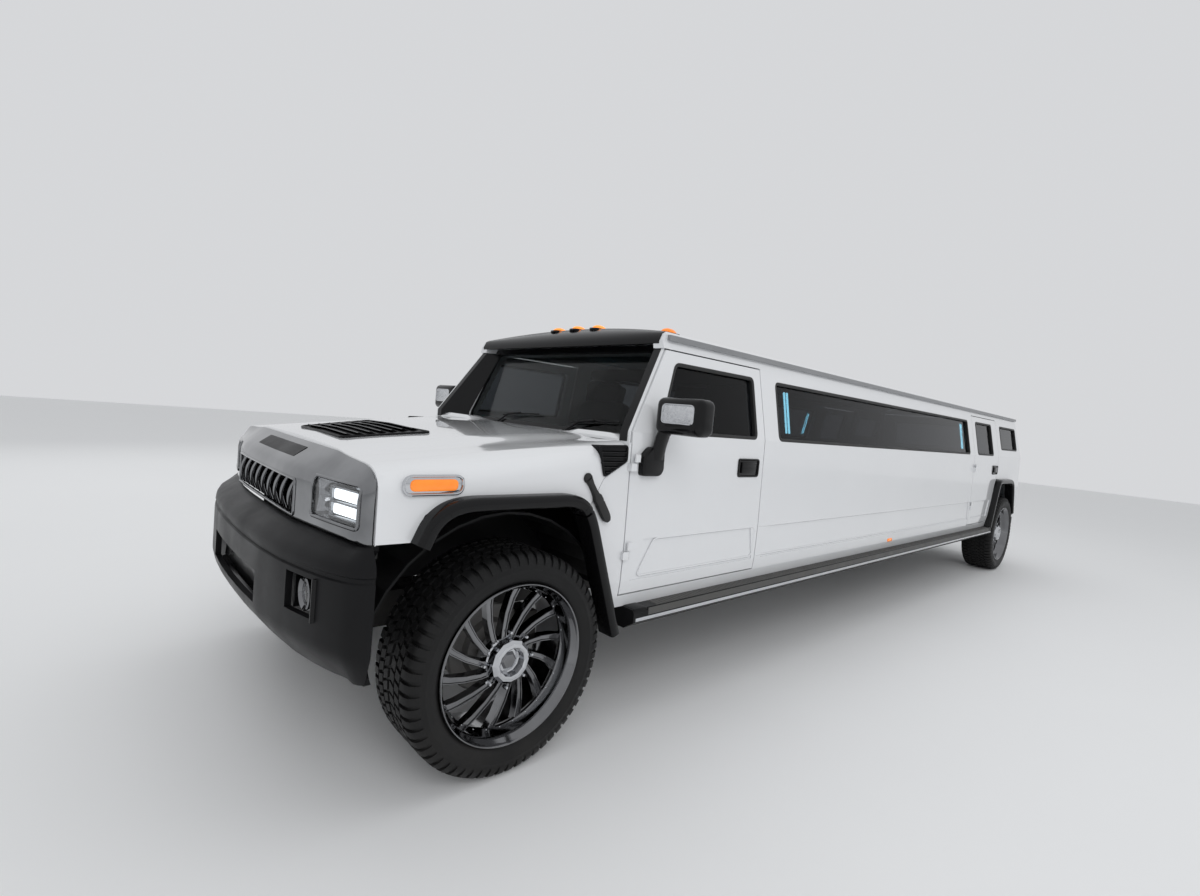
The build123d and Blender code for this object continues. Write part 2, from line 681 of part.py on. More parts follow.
# Ladder frame with cross members, outriggers, engine feet and towing points
RAIL_FRONT = front(HOOD_FRONT + SHUT_GAP)
RAIL_BACK = rear(-REAR_OVERHANG + BUMPER_DEPTH)
CROSS_MEMBERS = 9
CROSS_BOTTOM = RAIL_BOTTOM + 30
CROSS_PITCH = (RAIL_FRONT - RAIL_BACK - 120) / (CROSS_MEMBERS - 1)
AXLE_TUBE = 50.0
DIFF_RADIUS = 125.0
PINION_REACH = 170.0
TOW_HOLE = 20.0
TOW_PLATE = 24.0
TOW_Z = 440.0
HITCH_Z = RAIL_BOTTOM - 66
HITCH_PIN = 8.0
HITCH_OUT = 64.0
HITCH_IN = 51.0
HITCH_BACK = rear(-REAR_OVERHANG + 30)
SUPPORT_TOP = 1190.0
with BuildPart() as chassis_frame:
    for word, side in SIDES:
        with Locations(
            ((RAIL_FRONT + RAIL_BACK) / 2, side * RAIL_Y, RAIL_BOTTOM + RAIL_HEIGHT / 2)
        ):
            Box(RAIL_FRONT - RAIL_BACK, RAIL_WIDTH, RAIL_HEIGHT)
    for step in range(CROSS_MEMBERS):
        x = RAIL_BACK + 60 + step * CROSS_PITCH
        with Locations((x, 0, RAIL_BOTTOM + RAIL_HEIGHT / 2)):
            Box(80, 2 * RAIL_Y, 90)
    for word, side in SIDES:
        for step in range(CROSS_MEMBERS):
            x = RAIL_BACK + 60 + step * CROSS_PITCH
            if abs(x - REAR_AXLE) > 700 and abs(x - FRONT_AXLE) > 700:
                with Locations((x, side * 660, FLOOR_TOP - FLOOR_THICKNESS - 55)):
                    Box(60, 2 * (FIREWALL_Y - 660), 110)
        with Locations((FRONT_AXLE, side * 335, 640)):
            Box(120, 190, 120)
        with Locations((REAR_AXLE, side * RAIL_Y, RAIL_BOTTOM)):
            Box(300, 200, 110, mode=Mode.SUBTRACT)
        with Locations((RAIL_FRONT - 70, side * RAIL_Y, (TOW_Z + RAIL_BOTTOM) / 2 + 20)):
            Box(130, TOW_PLATE, 160)
        with BuildSketch(Plane.XZ.offset(-side * RAIL_Y)):
            with Locations((RAIL_FRONT - 90, TOW_Z)):
                Circle(TOW_HOLE)
        extrude(amount=TOW_PLATE, both=True, mode=Mode.SUBTRACT)
    with Locations((RAIL_FRONT - 20, 0, (SUPPORT_TOP + RAIL_BOTTOM) / 2)):
        Box(40, 2 * RAIL_Y + RAIL_WIDTH, SUPPORT_TOP - RAIL_BOTTOM)
    with Locations((RAIL_FRONT - 20, 0, NOSE_SILL_Z - 32)):
        Box(40, 1800, 60)
save(chassis_frame.part, "chassis_frame")

with BuildPart() as tow_receiver:
    with Locations((RAIL_BACK + 60, 0, RAIL_BOTTOM - 17)):
        Box(90, 2 * RAIL_Y + RAIL_WIDTH, 34)
    with Locations(((HITCH_BACK + RAIL_BACK + 105) / 2, 0, HITCH_Z)):
        Box(RAIL_BACK + 105 - HITCH_BACK, HITCH_OUT, HITCH_OUT)
        Box(RAIL_BACK + 120 - HITCH_BACK, HITCH_IN, HITCH_IN, mode=Mode.SUBTRACT)
    with BuildSketch(Plane.XZ):
        with Locations((HITCH_BACK + 60, HITCH_Z)):
            Circle(HITCH_PIN)
    extrude(amount=HITCH_OUT, both=True, mode=Mode.SUBTRACT)
save(tow_receiver.part, "tow_receiver")

# Engine as one plain block in its real place, on the frame's feet
with BuildPart() as engine_block:
    with Locations((front(-10), 0, 910)):
        Box(760, 560, 420)
save(engine_block.part, "engine_block")

# Gearbox, propeller shaft and exhaust under the cross members
SHAFT_RADIUS = 38.0
with BuildPart() as drive_line:
    with Locations((front(-560), 0, CROSS_BOTTOM - 60)):
        Box(640, 300, 120)
    with BuildSketch(Plane.YZ.offset(REAR_AXLE + PINION_REACH)):
        with Locations((0, TYRE_RADIUS)):
            RegularPolygon(SHAFT_RADIUS, 16)
    extrude(amount=front(-800) - REAR_AXLE - PINION_REACH)
with BuildPart() as exhaust:
    with BuildSketch(Plane.YZ.offset(REAR_AXLE + 700)):
        with Locations((-260, CROSS_BOTTOM - 32)):
            RegularPolygon(32, 12)
    extrude(amount=front(-600) - REAR_AXLE - 700)
    with Locations((0, -260, CROSS_BOTTOM - 65)):
        Box(900, 260, 130)
with BuildPart() as running_gear:
    add(drive_line.part)
    add(exhaust.part)
save(running_gear.part, "drive_line")

# Hood: a clamshell of the top and both fender sides
HOOD_SECTIONS = (
    # x, crown z, dome y, dome z, valley y, valley z, shoulder y, shoulder z, side y, side z
    (HOOD_FRONT, 1250, 520, 1243, 650, 1229, 878, 1220, 950, 1180),
    (0.0, 1326, 560, 1312, 690, 1292, 895, 1285, 964, 1235),
    (HOOD_REAR, 1362, 600, 1354, 720, 1342, 900, 1345, 962, 1290),
)


def hood_section(row, wall):
    """Open section of the hood over its bottom line, moved in by wall."""
    x, crown, dome_y, dome_z, valley_y, valley_z, shoulder_y, shoulder_z, side_y, side_z = row
    half = [
        (side_y + 5 - wall, 930 - wall),
        (side_y - wall, side_z - wall * 0.5),
        (shoulder_y - wall * 0.7, shoulder_z - wall),
        (valley_y, valley_z - wall),
        (dome_y, dome_z - wall),
    ]
    mirrored = [(-y, z) for y, z in half[::-1]]
    return half + [(0, crown - wall)] + mirrored


with BuildPart() as hood:
    for row in HOOD_SECTIONS:
        with BuildSketch(Plane.YZ.offset(front(row[0]))) as section:
            Polygon(*hood_section(row, 0), align=None)
            folds = section.vertices().filter_by(lambda v: v.Y > NOSE_SILL_Z and abs(v.X) > 400)
            chamfer(folds, HOOD_FOLD)
    loft()
with BuildPart() as hood_hollow:
    for row in HOOD_SECTIONS:
        with BuildSketch(Plane.YZ.offset(front(row[0]))):
            Polygon(*hood_section(row, HOOD_WALL), align=None)
    loft()

VENT_OUTLINE = [(470, 290), (470, -290), (110, -370), (110, 370)]
VENT_RISE = 9.0
VENT_SLOT = 20.0
VENT_SLOTS = 6
with BuildPart() as vent_prism:
    with BuildSketch(Plane.XY.offset(1150)):
        with BuildLine():
            Polyline(*[(front(x), y) for x, y in VENT_OUTLINE], close=True)
        make_face()
    extrude(amount=300)

with BuildPart() as hood_shell:
    add(hood.part)
    add(hood_hollow.part, mode=Mode.SUBTRACT)
    add(vent_prism.part, mode=Mode.SUBTRACT)
    below = [
        (front(HOOD_FRONT + 50), 800),
        (front(HOOD_FRONT + 50), NOSE_SILL_Z),
        *flare_line(FRONT_AXLE)[:5],
        (front(-362), 1058),
        (front(-430), 1180),
        (front(HOOD_REAR), 1260),
        (front(HOOD_REAR - 50), 1260),
        (front(HOOD_REAR - 50), 800),
    ]
    add(side_cutter(below), mode=Mode.SUBTRACT)
save(hood_shell.part, "hood_shell")

# Louvred vent let into the hood, with its slots across
with BuildPart() as top_vent:
    add(hood.part.moved(Location((0, 0, VENT_RISE))))
    add(vent_prism.part, mode=Mode.INTERSECT)
    add(hood_hollow.part, mode=Mode.SUBTRACT)
    for step in range(VENT_SLOTS):
        x = 150 + step * (VENT_OUTLINE[0][0] - VENT_OUTLINE[2][0]) / VENT_SLOTS
        with Locations((front(x), 0, 1300)):
            Box(VENT_SLOT, 500, 400, mode=Mode.SUBTRACT)


def flare_band(axle, outline, side, open_feet):
    """A flare that follows the arch, from the skin out to the tyre's face."""
    inner = [(x - (x - axle) * FLARE_WIDTH / 420, z - FLARE_WIDTH * 0.9) for x, z in outline]
    for end in open_feet:
        toward = -1 if outline[end][0] > axle else 1
        inner[end] = (outline[end][0] + toward * FLARE_WIDTH, outline[end][1])
    with BuildPart() as band:
        with BuildSketch(Plane.XZ.offset(-side * FLARE_IN)):
            with BuildLine():
                Polyline(*(outline + inner[::-1]), close=True)
            make_face()
        extrude(amount=-side * (FLARE_OUT - FLARE_IN))
    return band.part


def corner_split(drop):
    """Everything behind the flare's upper rear corner, where the hood parts."""
    return [
        (front(-280), 990 - drop),
        (front(-300), 1000 - drop),
        (front(-372), 1058 - drop),
        (front(-700), 1058 - drop),
        (front(-700), 300),
        (front(-280), 300),
    ]


with BuildPart() as hood_flares:
    for word, side in SIDES:
        add(flare_band(FRONT_AXLE, flare_line(FRONT_AXLE), side, (0, -1)))
    add(side_cutter(corner_split(0)), mode=Mode.SUBTRACT)
save(hood_flares.part, "hood_flares")

REAR_FLARE_FRONT_FOOT = STEP_TOP + 2
REAR_FLARE_REAR_FOOT = 600.0
BUMPER_TOP = TAIL_FOOT_Z
with BuildPart() as front_legs:
    for word, side in SIDES:
        add(flare_band(FRONT_AXLE, flare_line(FRONT_AXLE), side, (0, -1)))
    add(side_cutter(corner_split(SHUT_GAP)), mode=Mode.INTERSECT)
with BuildPart() as body_flares:
    add(front_legs.part)
    for word, side in SIDES:
        outline = rear_flare_line(REAR_AXLE, REAR_FLARE_FRONT_FOOT, REAR_FLARE_REAR_FOOT)
        add(flare_band(REAR_AXLE, outline, side, (0, -1)))
    with Locations((rear(BUMPER_WING - 100), 0, BUMPER_TOP - 200)):
        Box(200, 3000, 400, mode=Mode.SUBTRACT)
save(body_flares.part, "body_flares")

# Louvred vents behind the front arches, on the hood's sides
SIDE_VENT = [(-388, 1336), (-556, 1342), (-560, 1262), (-428, 1188)]
VENT_STAND = 6.0
SIDE_VENT_OUT = SKIN_Y + VENT_STAND
with BuildPart() as hood_vents:
    add(top_vent.part)
    for word, side in SIDES:
        with BuildPart(mode=Mode.PRIVATE) as vent:
            with BuildSketch(Plane.XZ.offset(-side * 880)):
                with BuildLine():
                    Polyline(*[(front(x), z) for x, z in SIDE_VENT], close=True)
                make_face()
            extrude(amount=-side * (SIDE_VENT_OUT - 880))
            add(hood.part, mode=Mode.SUBTRACT)
        add(vent.part)
save(hood_vents.part, "hood_vents")

# Side marker lamps ahead of the arches, each a long rounded lens
MARKER_X = 374.0
MARKER_Z = 1162.0
with BuildPart() as marker_lamps:
    for word, side in SIDES:
        with BuildPart(mode=Mode.PRIVATE) as marker:
            with BuildSketch(Plane.XZ.offset(-side * 920)):
                with Locations((front(MARKER_X), MARKER_Z)):
                    Rectangle(214, 66)
                chamfer(vertices(), 28)
            extrude(amount=-side * 56)
            add(hood.part, mode=Mode.SUBTRACT)
        add(marker.part)
save(marker_lamps.part, "marker_lamps")

# Rubber latches that hold the hood's rear corners
with BuildPart() as hood_latches:
    for word, side in SIDES:
        with BuildPart(mode=Mode.PRIVATE) as latch:
            with BuildSketch(Plane.XZ.offset(-side * 940)):
                with Locations((front(-318), 1168)):
                    RegularPolygon(22, 10)
                with BuildLine():
                    Polyline(
                        (front(-305), 1160), (front(-330), 1172), (front(-352), 1108),
                        (front(-328), 1100), close=True,
                    )
                make_face()
            extrude(amount=-side * 54)
            add(hood.part, mode=Mode.SUBTRACT)
        add(latch.part)
save(hood_latches.part, "hood_latches")

# Chrome nose: header, lamp housings and grille opening in one shell
NOSE_BACK = RAIL_FRONT
NOSE_BOTTOM = NOSE_SILL_Z - 2
NOSE_TOP = 1236.0
NOSE_WALL = 24.0


def nose_plan(inset):
    """Plan line of the nose, from its left rear end round to its right rear end."""
    half = [
        (NOSE_BACK, 944 - inset),
        (NOSE_BACK + 22 - inset * 0.5, 936 - inset),
        (front(GRILLE_FACE - 44) - inset, 720 - inset * 0.3),
        (front(GRILLE_FACE) - inset, 430),
    ]
    return half + [(x, -y) for x, y in half[::-1]]


def nose_side(inset):
    """Side line of the nose: upright face, then the header leaning back."""
    return [
        (NOSE_BACK, NOSE_BOTTOM + inset),
        (front(GRILLE_FACE + 5), NOSE_BOTTOM + inset),
        (front(GRILLE_FACE + 5), 1120 - inset * 0.3),
        (front(GRILLE_FACE - 30), 1165 - inset),
        (NOSE_BACK, NOSE_TOP - inset),
    ]


def nose_block(inset):
    with BuildPart() as block:
        with BuildSketch(Plane.XY.offset(NOSE_BOTTOM - 20)):
            with BuildLine():
                Polyline(*nose_plan(inset), close=True)
            make_face()
        extrude(amount=400)
        add(side_cutter(nose_side(inset)), mode=Mode.INTERSECT)
    return block.part


GRILLE_Z = 1050.0
GRILLE_HEIGHT = 130.0
GRILLE_HALF = 455.0
LAMP_Z = 1070.0
LAMP_HEIGHT_OPEN = 170.0
with BuildPart() as grille_surround:
    add(nose_block(0))
    add(nose_block(NOSE_WALL), mode=Mode.SUBTRACT)
    with Locations((front(GRILLE_FACE), 0, GRILLE_Z)):
        Box(200, 2 * GRILLE_HALF, GRILLE_HEIGHT, mode=Mode.SUBTRACT)
    for word, side in SIDES:
        with Locations((front(GRILLE_FACE - 30), side * LAMP_Y, LAMP_Z)):
            Box(200, LAMP_WIDTH, LAMP_HEIGHT_OPEN, mode=Mode.SUBTRACT)
save(grille_surround.part, "grille_surround")

BAR_PITCH = 2 * GRILLE_HALF / GRILLE_BARS
with BuildPart() as grille_bars:
    for z in (GRILLE_Z - 50, GRILLE_Z + 50):
        with Locations((front(GRILLE_FACE - 66), 0, z)):
            Box(16, 2 * GRILLE_HALF + 60, 18)
    for step in range(GRILLE_BARS + 1):
        y = (step - GRILLE_BARS / 2) * BAR_PITCH * 0.94
        with Locations(Location((front(GRILLE_FACE - 40), y, GRILLE_Z), (0, 0, 24))):
            Box(60, 20, GRILLE_HEIGHT - 4)
    for side in (1, -1):
        with Locations((front(GRILLE_FACE - 65), side * (GRILLE_HALF + 25), GRILLE_Z)):
            Box(60, 18, GRILLE_HEIGHT)
save(grille_bars.part, "grille_bars")

with BuildPart() as headlamps:
    for word, side in SIDES:
        with Locations((front(GRILLE_FACE - 30), side * LAMP_Y, LAMP_Z)):
            with BuildPart(mode=Mode.PRIVATE) as lamp:
                add(nose_block(NOSE_WALL * 0.4).moved(Location((-26, 0, 0))))
                with Locations((front(GRILLE_FACE - 30), side * LAMP_Y, LAMP_Z)):
                    Box(160, LAMP_WIDTH - 8, LAMP_HEIGHT_OPEN - 8, mode=Mode.INTERSECT)
        add(lamp.part)
save(headlamps.part, "headlamps")

# Front bumper
BUMPER_BOTTOM = 480.0
BUMPER_WALL = 45.0


def bumper_plan(inset):
    """Half of the front bumper's plan line, from its rear corner to its face."""
    return [
        (RAIL_FRONT, 1005 - inset),
        (front(620), 1005 - inset),
        (front(FRONT_OVERHANG - 105) - inset, 860 - inset * 0.6),
        (front(FRONT_OVERHANG - 36) - inset, 600),
    ]


def bumper_block(inset, low_z, high_z):
    half = bumper_plan(inset)
    mirrored = [(x, -y) for x, y in half[::-1]]
    with BuildPart() as block:
        with BuildSketch(Plane.XY.offset(low_z)):
            with BuildLine():
                Polyline(*half)
                ThreePointArc(half[-1], (front(FRONT_OVERHANG) - inset, 0), mirrored[0])
                Polyline(*mirrored)
                Line(mirrored[-1], half[0])
            make_face()
        extrude(amount=high_z - low_z)
    return block.part


with BuildPart() as front_bumper:
    add(bumper_block(0, BUMPER_BOTTOM, NOSE_BOTTOM))
    bumper_side = [
        (front(500), BUMPER_BOTTOM + 60),
        (front(600), BUMPER_BOTTOM),
        (front(FRONT_OVERHANG - 90), BUMPER_BOTTOM),
        (front(FRONT_OVERHANG), BUMPER_BOTTOM + 120),
        (front(FRONT_OVERHANG), 860),
        (front(FRONT_OVERHANG - 50), 925),
        (front(FRONT_OVERHANG - 95), NOSE_BOTTOM),
        (front(500), NOSE_BOTTOM),
    ]
    add(side_cutter(bumper_side), mode=Mode.INTERSECT)
    add(
        bumper_block(BUMPER_WALL, BUMPER_BOTTOM - 20, NOSE_BOTTOM - BUMPER_WALL), mode=Mode.SUBTRACT
    )
    with Locations((front(FRONT_OVERHANG - 20), 0, 690)):
        Box(160, 760, 120, mode=Mode.SUBTRACT)
    for word, side in SIDES:
        with Locations((front(FRONT_OVERHANG - 70), side * 740, 760)):
            Box(160, 170, 130, mode=Mode.SUBTRACT)
save(front_bumper.part, "front_bumper")

with BuildPart() as fog_lamps:
    for word, side in SIDES:
        with Locations((front(FRONT_OVERHANG - 122), side * 740, 760)):
            Box(40, 170, 130)
        with BuildSketch(Plane.YZ.offset(front(FRONT_OVERHANG - 102))):
            with Locations((side * 740, 760)):
                RegularPolygon(48, 24)
        extrude(amount=26)
save(fog_lamps.part, "fog_lamps")

# Rear frame round the tailgate
GATE_EDGE = GATE_Y + SHUT_GAP
FRAME_DEPTH = 60.0


def tail_line(inset, low_z, high_z):
    return [(TAIL_LOW + inset, low_z), (TAIL_BELT + inset, BELT_Z), (TAIL_TOP + inset, high_z)]


with BuildPart() as rear_frame:
    for word, side in SIDES:
        corner = [(side * y, z) for y, z in skin_line(WALL)]
        edge = [(side * GATE_EDGE, EAVE_Z), (side * GATE_EDGE, SILL_Z)]
        with BuildSketch(Plane.YZ.offset(TAIL_LOW - 50)):
            with BuildLine():
                Polyline(*corner, *edge, close=True)
            make_face()
        extrude(amount=400)
    tail_ring = tail_line(0, TAIL_FOOT_Z, EAVE_Z) + tail_line(FRAME_DEPTH, TAIL_FOOT_Z, EAVE_Z)[::-1]
    add(side_cutter(tail_ring), mode=Mode.INTERSECT)
    with BuildSketch(Plane.YZ.offset(TAIL_TOP)):
        with BuildLine():
            roof_underside()
            Polyline(
                (-ROOF_INNER_Y, ROOF_INNER_Z),
                (-ROOF_INNER_Y, GATE_TOP_Z + SHUT_GAP),
                (ROOF_INNER_Y, GATE_TOP_Z + SHUT_GAP),
                (ROOF_INNER_Y, ROOF_INNER_Z),
            )
        make_face()
    extrude(amount=FRAME_DEPTH)
save(rear_frame.part, "rear_frame")

# Tailgate, hinged along its top edge
GATE_WINDOW_Z = 1590.0
GATE_HINGE_X = TAIL_TOP - 14
GATE_HINGE_Z = GATE_TOP_Z + 4
GATE_WINDOW_WIDTH = 1240.0
GATE_WINDOW_HEIGHT = 310.0


def gate_slab(inset, thickness, half_width):
    ring = tail_line(inset, TAIL_FOOT_Z + 20, GATE_TOP_Z)
    back = tail_line(inset + thickness, TAIL_FOOT_Z + 20, GATE_TOP_Z)[::-1]
    with BuildPart() as slab:
        with BuildSketch(Plane.XZ):
            with BuildLine():
                Polyline(*(ring + back), close=True)
            make_face()
        extrude(amount=half_width, both=True)
    return slab.part


with BuildPart() as tailgate:
    add(gate_slab(0, GATE_THICKNESS, GATE_Y))
    with Locations(((TAIL_BELT + TAIL_TOP) / 2, 0, GATE_WINDOW_Z)):
        Box(260, GATE_WINDOW_WIDTH, GATE_WINDOW_HEIGHT, mode=Mode.SUBTRACT)
    for word, side in SIDES:
        with BuildSketch(Plane.XZ.offset(-side * 500)):
            with Locations((GATE_HINGE_X, GATE_HINGE_Z)):
                Circle(HINGE_RADIUS)
            Polygon(
                (GATE_HINGE_X - 6, GATE_HINGE_Z),
                (TAIL_TOP + 4, GATE_HINGE_Z - 4),
                (TAIL_TOP + 4, GATE_HINGE_Z - 60),
                (GATE_HINGE_X - 6, GATE_HINGE_Z - 50),
                align=None,
            )
        extrude(amount=-side * 60)
save(tailgate.part, "tailgate")

with BuildPart() as tailgate_glass:
    add(gate_slab(GLASS_INSET, GLASS, GATE_Y))
    with Locations(((TAIL_BELT + TAIL_TOP) / 2, 0, GATE_WINDOW_Z)):
        Box(260, GATE_WINDOW_WIDTH, GATE_WINDOW_HEIGHT, mode=Mode.INTERSECT)
save(tailgate_glass.part, "tailgate_glass")

# Rear bumper wrapped round the lower corners, and the tail lamps above it
with BuildPart() as rear_bumper:
    with BuildSketch(Plane.XY.offset(500)):
        with BuildLine():
            half = [
                (rear(-REAR_OVERHANG), 700),
                (rear(-REAR_OVERHANG + 60), 960),
                (rear(BUMPER_WING - 20), 985),
                (rear(BUMPER_WING - 20), 925),
                (CAB_BACK, 900),
            ]
            Polyline(*(half + [(x, -y) for x, y in half[::-1]]), close=True)
        make_face()
    extrude(amount=BUMPER_TOP - 500)
save(rear_bumper.part, "rear_bumper")

with BuildPart() as tail_lamps:
    for word, side in SIDES:
        with Locations((TAIL_BELT - 12, side * 850, 1270)):
            Box(36, 110, 230)
    inside = tail_line(0, TAIL_FOOT_Z, EAVE_Z)
    inside += [(TAIL_LOW + 500, EAVE_Z), (TAIL_LOW + 500, TAIL_FOOT_Z)]
    add(side_cutter(inside), mode=Mode.SUBTRACT)
save(tail_lamps.part, "tail_lamps")

# Steps along the sills
STEP_IN = FIREWALL_Y
with BuildPart() as step_boards:
    for word, side in SIDES:
        with BuildSketch(Plane.YZ.offset(rear(leg_foot(STEP_TOP) + 4))):
            with BuildLine():
                Polyline(
                    (side * STEP_IN, STEP_TOP),
                    (side * (STEP_OUT - 12), STEP_TOP),
                    (side * STEP_OUT, STEP_TOP - 14),
                    (side * STEP_OUT, STEP_TOP - 60),
                    (side * (STEP_OUT - 60), STEP_TOP - STEP_HEIGHT),
                    (side * STEP_IN, STEP_TOP - STEP_HEIGHT),
                    close=True,
                )
            make_face()
        extrude(amount=front(-640) - rear(leg_foot(STEP_TOP) + 4))
save(step_boards.part, "step_boards")

# Front suspension: arms, differential and half shafts on a beam under the rails
ARM_LOW_Z = 292.0
ARM_HIGH_Z = 604.0
ARM_WALL = 26.0
BOSS_RADIUS = 38.0
BOSS_FACETS = 12
SHAFT_END = KINGPIN_Y - 62
with BuildPart() as front_suspension:
    with Locations((FRONT_AXLE, 0, RAIL_BOTTOM - 25)):
        Box(220, 2 * RAIL_Y + RAIL_WIDTH, 50)
    with BuildSketch(Plane.XZ.offset(-150)):
        with Locations((FRONT_AXLE, 420)):
            RegularPolygon(105, 16)
    extrude(amount=300)
    with BuildSketch(Plane.XZ.offset(-SHAFT_END)):
        with Locations((FRONT_AXLE, TYRE_RADIUS - 24)):
            RegularPolygon(22, BOSS_FACETS)
    extrude(amount=2 * SHAFT_END)
    for word, side in SIDES:
        with Locations((FRONT_AXLE, side * (RAIL_Y + 15), (ARM_LOW_Z + RAIL_BOTTOM - 30) / 2)):
            Box(220, 50, RAIL_BOTTOM - 30 - ARM_LOW_Z + ARM_WALL)
        for z in (ARM_LOW_Z, ARM_HIGH_Z):
            with BuildSketch(Plane.XY.offset(z - ARM_WALL / 2)):
                with BuildLine():
                    Polyline(
                        (FRONT_AXLE - 110, side * (RAIL_Y + RAIL_WIDTH / 2)),
                        (FRONT_AXLE + 110, side * (RAIL_Y + RAIL_WIDTH / 2)),
                        (FRONT_AXLE + 30, side * KINGPIN_Y),
                        (FRONT_AXLE - 30, side * KINGPIN_Y),
                        close=True,
                    )
                make_face()
                with Locations((FRONT_AXLE, side * KINGPIN_Y)):
                    RegularPolygon(BOSS_RADIUS, BOSS_FACETS)
                    Circle(KINGPIN_RADIUS + STUB_CLEARANCE, mode=Mode.SUBTRACT)
            extrude(amount=ARM_WALL)
save(front_suspension.part, "front_suspension")

# Knuckles: upright, kingpins, stub axle and brake caliper
PIN_CLEAR = 6.0
STUB_RADIUS = HUB_BORE - STUB_CLEARANCE
STUB_END = WHEEL_Y + 55
DISC_Y = WHEEL_Y - 70
for word, side in SIDES:
    low = ARM_LOW_Z + ARM_WALL / 2 + PIN_CLEAR
    high = ARM_HIGH_Z - ARM_WALL / 2 - PIN_CLEAR
    with BuildPart() as knuckle:
        with Locations((FRONT_AXLE, side * KINGPIN_Y, (low + high) / 2)):
            Box(80, 64, high - low)
        with BuildSketch(Plane.XY.offset(ARM_LOW_Z - ARM_WALL / 2)):
            with Locations((FRONT_AXLE, side * KINGPIN_Y)):
                Circle(KINGPIN_RADIUS)
        extrude(amount=ARM_HIGH_Z - ARM_LOW_Z + ARM_WALL)
        with BuildSketch(Plane.XZ.offset(-side * KINGPIN_Y)):
            with Locations((FRONT_AXLE, TYRE_RADIUS)):
                Circle(STUB_RADIUS)
        extrude(amount=-side * (STUB_END - KINGPIN_Y))
        with Locations((FRONT_AXLE - 95, side * (KINGPIN_Y + 20), TYRE_RADIUS + 60)):
            Box(130, 40, 50)
        with Locations((FRONT_AXLE - 165, side * (DISC_Y - 10), TYRE_RADIUS + 60)):
            Box(90, 130, 150)
        with BuildSketch(Plane.XZ.offset(-side * (DISC_Y - 21))):
            with Locations((FRONT_AXLE, TYRE_RADIUS)):
                RegularPolygon(DISC_RADIUS + 8, 36)
        extrude(amount=-side * 42, mode=Mode.SUBTRACT)
        with BuildSketch(Plane.XZ.offset(-side * KINGPIN_Y)):
            with Locations((FRONT_AXLE, TYRE_RADIUS)):
                Circle(STUB_RADIUS)
        extrude(amount=-side * (STUB_END - KINGPIN_Y))
    save(knuckle.part, f"knuckle_{word}")

# Rear axle: tube, differential, spring seats and trailing arms
with BuildPart() as rear_axle:
    with BuildSketch(Plane.XZ.offset(-(WHEEL_Y - 95))):
        with Locations((REAR_AXLE, TYRE_RADIUS)):
            RegularPolygon(AXLE_TUBE, 16)
    extrude(amount=2 * (WHEEL_Y - 95))
    with BuildSketch(Plane.XZ.offset(-STUB_END)):
        with Locations((REAR_AXLE, TYRE_RADIUS)):
            Circle(STUB_RADIUS)
    extrude(amount=2 * STUB_END)
    with BuildSketch(Plane.XZ.offset(-140)):
        with Locations((REAR_AXLE, TYRE_RADIUS)):
            RegularPolygon(DIFF_RADIUS, 16)
    extrude(amount=280)
    with Locations((REAR_AXLE + PINION_REACH / 2, 0, TYRE_RADIUS)):
        Box(PINION_REACH, 96, 96)
    for word, side in SIDES:
        with Locations((REAR_AXLE, side * RAIL_Y, 515)):
            Box(110, 100, 40)
        with Locations((REAR_AXLE + 340, side * (RAIL_Y + 20), TYRE_RADIUS)):
            Box(700, 50, 60)
save(rear_axle.part, "rear_axle")

# Cab: dashboard with the steering wheel, front seats and the partition behind them
DASH_Y = 870.0
STEERING_Y = 390.0
WHEEL_RIM = 198.0
with BuildPart() as dashboard:
    with BuildSketch(Plane.XZ):
        with BuildLine():
            Polyline(
                (CAB_FRONT, 1000), (CAB_FRONT, 1288), (front(-790), 1300), (front(-850), 1250),
                (front(-830), 1060), (front(-720), 1000), close=True,
            )
        make_face()
    extrude(amount=DASH_Y, both=True)
    with BuildSketch(Plane((front(-820), STEERING_Y, 1150), x_dir=(0, 1, 0), z_dir=(-0.9, 0, 0.436))):
        RegularPolygon(26, BOSS_FACETS)
    extrude(amount=190)
    with BuildSketch(
        Plane((front(-978), STEERING_Y, 1227), x_dir=(0, 1, 0), z_dir=(-0.9, 0, 0.436))
    ):
        RegularPolygon(WHEEL_RIM, 24)
        RegularPolygon(WHEEL_RIM - 28, 24, mode=Mode.SUBTRACT)
        Rectangle(2 * WHEEL_RIM - 30, 44)
    extrude(amount=26)
save(dashboard.part, "dashboard")

with BuildPart() as front_seats:
    for word, side in SIDES:
        with BuildSketch(Plane.XZ.offset(-side * (STEERING_Y - 260))):
            with BuildLine():
                Polyline(
                    (front(-1120), FLOOR_TOP),
                    (front(-1080), 900),
                    (front(-1100), 960),
                    (front(-1480), 930),
                    (front(-1640), 1520),
                    (front(-1700), 1700),
                    (front(-1760), 1690),
                    (front(-1640), 1000),
                    (front(-1620), FLOOR_TOP),
                    close=True,
                )
            make_face()
        extrude(amount=-side * 520)
save(front_seats.part, "front_seats")


def cabin_wall(low_x, thickness):
    """A bulkhead across the cabin between the walls, the floor and the roof."""
    left = [(y, z) for y, z in skin_line(WALL)]
    right = [(-y, z) for y, z in skin_line(WALL)[::-1]]
    with BuildPart() as bulkhead:
        with BuildSketch(Plane.YZ.offset(low_x)):
            with BuildLine():
                Polyline(*left)
                Line(left[-1], (ROOF_INNER_Y, ROOF_INNER_Z))
                roof_underside()
                Line((-ROOF_INNER_Y, ROOF_INNER_Z), right[0])
                Polyline(*right)
                Line(right[-1], left[0])
            make_face()
        extrude(amount=thickness)
        with Locations((low_x + thickness / 2, 0, FLOOR_TOP - 250)):
            Box(thickness, 2000, 500, mode=Mode.SUBTRACT)
    return bulkhead.part


